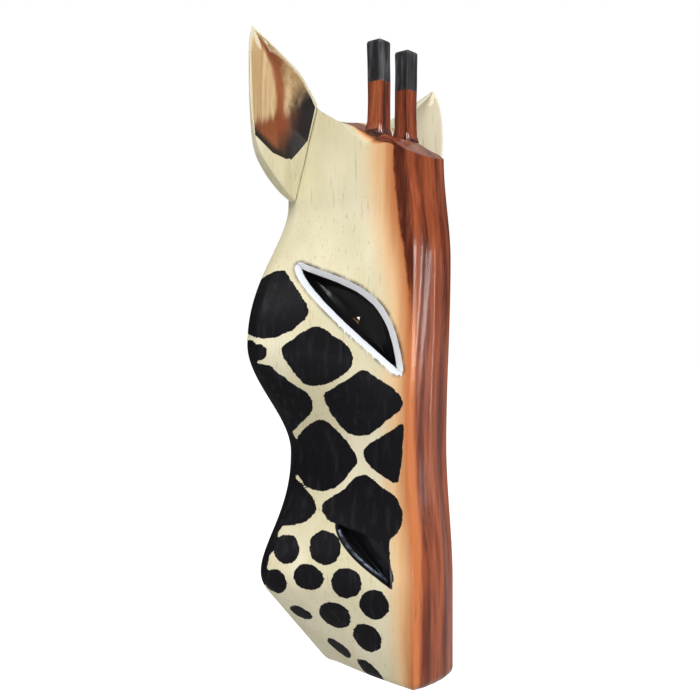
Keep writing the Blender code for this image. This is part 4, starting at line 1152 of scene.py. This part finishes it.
def scoop_shape(side):
    line = flowing(scoop_corners(), SCOOP_SHARP)
    valley = ROOT_END - TIP_END
    rings = [[] for _ in range(10)]
    for x, height, near in line:
        here = np.array((x, height))
        share = float(np.clip((here - TIP_END) @ valley / (valley @ valley), 0, 1))
        low_point = TIP_END + valley * share
        deepest = 0.012 * (0.35 + 0.65 * share)
        floor = EAR_FRONT - 0.001 - deepest
        for ring, t in zip(rings, (1.0, 0.92, 0.8, 0.65, 0.5, 0.35, 0.2, 0.08, 0.0, -0.07)):
            at = here + (low_point - here) * t * 0.93
            depth = near + 0.007 if t < 0 else near + (floor - near) * (1 - (1 - t) ** 1.7)
            ring.append(Vector((side * at[0], -depth, at[1])))
    return through_rings("scoop shape", rings, sprayed_ear)


def paint_ear(obj):
    places = places_of(obj)
    points = np.stack([np.abs(places[:, 0]), places[:, 2]], 1)
    outline = flowing(scoop_corners(), SCOOP_SHARP)[:, :2]
    write_attribute(obj, "scoop", signed_distance(points, outline) / MM)
    rib_places = ((0.81, 0.969), (0.52, 0.816), (0.364, 0.634), (0.31, 0.42))
    rib_line = [ear_place(out, up) for out, up in rib_places]
    widening = 1.0 + 0.9 * np.clip((ear_place(0, 1)[1] - points[:, 1]) / 0.07, 0, 1)
    write_attribute(obj, "rib", distance_to_line(points, rib_line, closed=False) / MM / widening)
    towards_joint = 1 - (points[:, 0] - SEAT) / EAR_REACH
    write_attribute(obj, "above_root", (points[:, 1] - 0.010 - 0.028 * towards_joint) / MM)
    corners = scoop_corners()[:, :2]
    joint_side = distance_to_line(points, [corners[0], corners[11], corners[10]], closed=False) / MM / 14.0
    bottom = distance_to_line(points, corners[8:11], closed=False) / MM / 5.5
    write_attribute(obj, "dark_edge", np.minimum(joint_side, bottom))


for side, hand in SIDES:
    ear = ear_body(side)
    ear.name = ear.data.name = f"carved_ear_{hand}"
    cut(ear, scoop_shape(side))
    clean(ear)
    pick(ear)
    bpy.ops.object.mode_set(mode="EDIT")
    bpy.ops.mesh.select_all(action="SELECT")
    bpy.ops.mesh.quads_convert_to_tris()
    bpy.ops.mesh.subdivide(number_cuts=1)
    bpy.ops.object.mode_set(mode="OBJECT")
    paint_ear(ear)
    shade(ear, 35)
    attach(ear, "mask")
    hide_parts(f"ear_{hand}")
    tell(ear)

# %% [markdown]
# ## The horns
# The horns are squared sticks whittled a little unevenly, stained like the ridge, with the tips dipped in
# black. Lighter blue-grey streaks in the black are brush wear and also a painted sheen. A cube is stretched
# to the horn's size, cut into levels and squeezed level by level, and its edges are bevelled. The foot flares
# where it was bedded in dark glue.

# %% The horn finish
BLACK_FROM = 0.0566


def build_horn_finish():
    material, nodes, shader = new_finish("stained horn", 0.3, coat=0.8, coat_roughness=0.12)
    streaks, pores, height = grain(nodes, 1.3)[0], *grain(nodes)[1:]
    place = nodes.add("ShaderNodeTexCoord", output=3)
    up = nodes.add("ShaderNodeSeparateXYZ", {0: place}, output=2)
    below_tip = nodes.times(nodes.minus(BLACK_FROM, up), 1000.0)
    tip = brushed(nodes, below_tip, 0.5, 0.3)
    above_foot = nodes.times(nodes.minus(up, 0.0165), 1000.0)
    foot = nodes.ramp(nodes.plus(above_foot, nodes.times(streaks, 8.0)), 2.0, 9.0, 0.75, 0.0)
    wood = stained_wood_colour(nodes, streaks, foot)
    wood = nodes.mix(nodes.times(pores, 0.5), wood, (0.03, 0.006, 0.003, 1))
    # The lighter blue-grey streaks in the black tips are brush wear and also a painted sheen, the grey-blue
    # gloss of the black.
    worn = nodes.ramp(nodes.stretched_noise(260.0, 7.0, detail=4.0), 0.42, 0.72, 0.0, 0.75)
    black = nodes.mix(worn, (0.020, 0.020, 0.022, 1), (0.15, 0.15, 0.17, 1))
    nodes.feed(shader.inputs["Base Color"], nodes.mix(tip, wood, black))
    nodes.feed(shader.inputs["Roughness"], nodes.ramp(tip, 0.0, 1.0, 0.26, 0.42))
    nodes.feed(shader.inputs["Coat Weight"], nodes.ramp(tip, 0.0, 1.0, 0.85, 0.35))
    nodes.feed(shader.inputs["Normal"], nodes.bump(nodes.plus(height, nodes.times(tip, 0.6)), 0.6, 0.0003))
    return material


stained_horn = build_horn_finish()
print("finish:", stained_horn.name)

# %% Whittle the horns
HORN_SUNK, HORN_LEVELS = 0.0012, 46


def seat_height(y):
    """The height of the filed seat that a horn stands in."""
    return float(crown_height(HORN_SPACING / 2, HORN_DEPTH)) - HORN_SUNK + CROWN_SLOPE * (y + HORN_DEPTH)


def whittled_horn(side, hand):
    low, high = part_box(f"horn_{hand}")
    middle = (low + high) / 2
    bottom, top = seat_height(-HORN_DEPTH) - 0.006, high.z
    bpy.ops.object.select_all(action="DESELECT")
    bpy.ops.mesh.primitive_cube_add(size=1, location=(middle.x, middle.y, (top + bottom) / 2))
    horn = bpy.context.object
    horn.name = horn.data.name = f"whittled_horn_{hand}"
    horn.scale = (HORN_SIDE, HORN_SIDE, top - bottom)
    bpy.ops.object.transform_apply(location=True, rotation=True, scale=True)
    horn.data.materials.append(stained_horn)
    horn.data.materials.append(dried_glue)
    rounding = horn.modifiers.new("arris", "BEVEL")
    rounding.width = 0.0024
    rounding.segments = 4
    apply_modifiers(horn)
    bpy.ops.object.mode_set(mode="EDIT")
    shape = bmesh.from_edit_mesh(horn.data)
    for i in range(1, HORN_LEVELS):
        level = bottom + (top - bottom) * i / HORN_LEVELS
        everything = shape.verts[:] + shape.edges[:] + shape.faces[:]
        bmesh.ops.bisect_plane(shape, geom=everything, plane_co=(0, 0, level), plane_no=(0, 0, 1))
    bmesh.update_edit_mesh(horn.data)
    bpy.ops.object.mode_set(mode="OBJECT")
    for vertex in horn.data.vertices:
        x, y, z = vertex.co
        above = z - seat_height(y)
        flare = 1 + 0.17 * float(smooth(1 - above / 0.008))
        lump = 0.00045 * float(smooth(1 - above / 0.0035)) * math.sin(x * 2600 + side) * math.cos(y * 2100)
        waist = 1 - 0.035 * math.sin(math.pi * (z - bottom) / (top - bottom))
        waist += 0.008 * math.sin(z * 190 + 3 * side)
        lean = 0.0004 * math.sin(z * 75 + 2 * side)
        vertex.co.x = middle.x + (x - middle.x) * (waist * flare) + lean + lump
        vertex.co.y = middle.y + (y - middle.y) * (waist * flare) + lump
    for polygon in horn.data.polygons:
        foot = polygon.center.z - seat_height(polygon.center.y)
        polygon.material_index = 1 if foot < 0.0022 + 0.0009 * math.sin(polygon.center.x * 1900) else 0
    shade(horn, 40)
    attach(horn, "mask")
    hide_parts(f"horn_{hand}")
    tell(horn)


for side, hand in SIDES:
    whittled_horn(side, hand)

# %% [markdown]
# ## The hanger
# A folded steel strap is screwed into a recess in the back, and a wire ring swings in its fold. The
# engineering nodes have the right shapes already, so a copy of each is merged and finished: the wire is
# smoothed until it is round, and the strap and the screws get the small worn edges of stamped and turned
# metal.

# %% Metal finishes and the dowels' wood
def build_metal(name, colour, dull, roughness):
    material, nodes, shader = new_finish(name, roughness, metallic=1.0)
    cloud = nodes.stretched_noise(260.0, 1.0, detail=4.0)
    scratch = nodes.stretched_noise(2200.0, 12.0, detail=2.0)
    nodes.feed(shader.inputs["Base Color"], nodes.mix(nodes.ramp(cloud, 0.4, 0.7), colour, dull))
    rough = nodes.plus(roughness, nodes.times(nodes.minus(cloud, 0.5), 0.4))
    nodes.feed(shader.inputs["Roughness"], rough)
    nodes.feed(shader.inputs["Normal"], nodes.bump(scratch, 0.3, 0.0001))
    return material


def build_bamboo():
    material, nodes, shader = new_finish("bamboo", 0.6)
    streaks = nodes.stretched_noise(900.0, 1.0, detail=3.0)
    nodes.feed(shader.inputs["Base Color"], nodes.mix(streaks, (0.50, 0.36, 0.17, 1), (0.72, 0.58, 0.34, 1)))
    return material


plated_steel = build_metal("plated steel", (0.60, 0.60, 0.58, 1), (0.40, 0.38, 0.35, 1), 0.34)
brass_wire = build_metal("brass wire", (0.78, 0.58, 0.25, 1), (0.52, 0.37, 0.16, 1), 0.28)
bamboo = build_bamboo()
print("finishes:", ", ".join(finish.name for finish in (plated_steel, brass_wire, bamboo)))


def finished_copy(node, name, material, body):
    """A copy of a CAD node in its own finish.

    The two keys are the frame's marks on the CAD's nodes, and the copy drops them. With them the table
    would list the copy as one.
    """
    copy = frame["nodes"][node].copy()
    copy.data = copy.data.copy()
    bpy.context.scene.collection.objects.link(copy)
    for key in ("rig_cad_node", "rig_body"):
        if key in copy:
            del copy[key]
    copy.name = copy.data.name = name
    copy.hide_render = copy.hide_viewport = False
    copy.data.materials.clear()
    copy.data.materials.append(material)
    clean(copy, 1e-6)
    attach(copy, body)
    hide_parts(node)
    return copy


ring = finished_copy("hanger_ring", "wire_ring", brass_wire, "ring")
rounder = ring.modifiers.new("rounder", "SUBSURF")
rounder.levels = rounder.render_levels = 2
apply_modifiers(ring)
shade(ring, 60)
tell(ring)
STEEL_PIECES = {
    "hanger_strap": "steel_strap", "hanger_screw_upper": "upper_screw", "hanger_screw_lower": "lower_screw",
}
for node, name in STEEL_PIECES.items():
    piece = finished_copy(node, name, plated_steel, "mask")
    worn = piece.modifiers.new("worn edges", "BEVEL")
    worn.width = 0.00018
    worn.segments = 2
    worn.limit_method = "ANGLE"
    worn.angle_limit = math.radians(40)
    apply_modifiers(piece)
    shade(piece, 40)
    tell(piece)
for _, hand in SIDES:
    dowel = frame["nodes"][f"ear_dowel_{hand}"]
    dowel.data.materials.clear()
    dowel.data.materials.append(bamboo)

# %% [markdown]
# ## The studio
# The mask hangs in a plain white studio. The key is a large soft light high on the camera's side, and a
# second one stands in front. Two narrow strips draw the long gloss lines on the nose ridge, and a weak low
# light lifts the chin. The pale floor lies well below.

# %% Floor, lights and world
MIDDLE, CHIN_MIDDLE = (0.0, -0.05, -0.15), (0.0, -0.05, -0.35)


def soft_light(name, place, towards, size, power):
    bpy.ops.object.light_add(type="AREA", location=place)
    light = bpy.context.object
    light.name = name
    light.data.shape = "RECTANGLE"
    light.data.size, light.data.size_y = size
    light.data.energy = power
    light.rotation_euler = (Vector(towards) - Vector(place)).to_track_quat("-Z", "Y").to_euler()
    return light


def build_floor_finish():
    """A pale floor that looks white to the camera and gives the mask only a little light from below."""
    material, nodes, shader = new_finish("white floor", 0.9)
    shader.inputs["Base Color"].default_value = (0.35, 0.35, 0.35, 1)
    shader.inputs["Emission Color"].default_value = (1, 1, 1, 1)
    to_camera = nodes.add("ShaderNodeLightPath", output=0)
    nodes.feed(shader.inputs["Emission Strength"], nodes.ramp(to_camera, 0.0, 1.0, 0.30, 0.95))
    return material


bpy.ops.mesh.primitive_plane_add(size=60, location=(0, 0, -0.75))
floor = bpy.context.object
floor.name = "floor"
floor.data.materials.append(build_floor_finish())

soft_light("key", (-1.9, -1.2, 1.7), MIDDLE, (1.3, 1.3), 50)
soft_light("ridge strip", (0.75, -1.35, -0.04), MIDDLE, (0.06, 0.5), 2.8)
soft_light("short strip", (0.80, -0.76, -0.12), MIDDLE, (0.03, 0.36), 0.85)
soft_light("front", (0.25, -2.6, 1.9), MIDDLE, (0.8, 0.8), 34)
soft_light("low fill", (-1.2, -1.1, -0.68), CHIN_MIDDLE, (0.7, 0.3), 4.5)

world = bpy.data.worlds.new("white studio")
bpy.context.scene.world = world
world.use_nodes = True
sky = Nodes(world.node_tree)
background = world.node_tree.nodes["Background"]
background.inputs["Color"].default_value = (1, 1, 1, 1)
to_camera = sky.add("ShaderNodeLightPath", output=0)
direction = sky.add("ShaderNodeTexCoord", output=0)
upwards = sky.add("ShaderNodeSeparateXYZ", {0: direction}, output=2)
dome = sky.ramp(upwards, 0.05, 0.9, 0.10, 0.55)
sky.feed(background.inputs["Strength"], sky.math("MAXIMUM", to_camera, dome))
bpy.context.scene.view_settings.view_transform = "Standard"
bpy.context.scene.view_settings.gamma = 0.87

# %% [markdown]
# ## The camera
# The camera stands level with the middle of the mask and looks squarely at its right cheek, 0.79 m out from
# the upright line through the hook.

# %% Camera
bpy.ops.object.camera_add(location=(-0.596, -0.518, -0.150))
camera = bpy.context.object
camera.rotation_euler = Vector((0.766, 0.643, 0.0)).to_track_quat("-Z", "Y").to_euler()
camera.data.sensor_width = 36
camera.data.lens = 49
bpy.context.scene.camera = camera
print("camera at", [round(place, 3) for place in camera.location], "with lens", camera.data.lens)
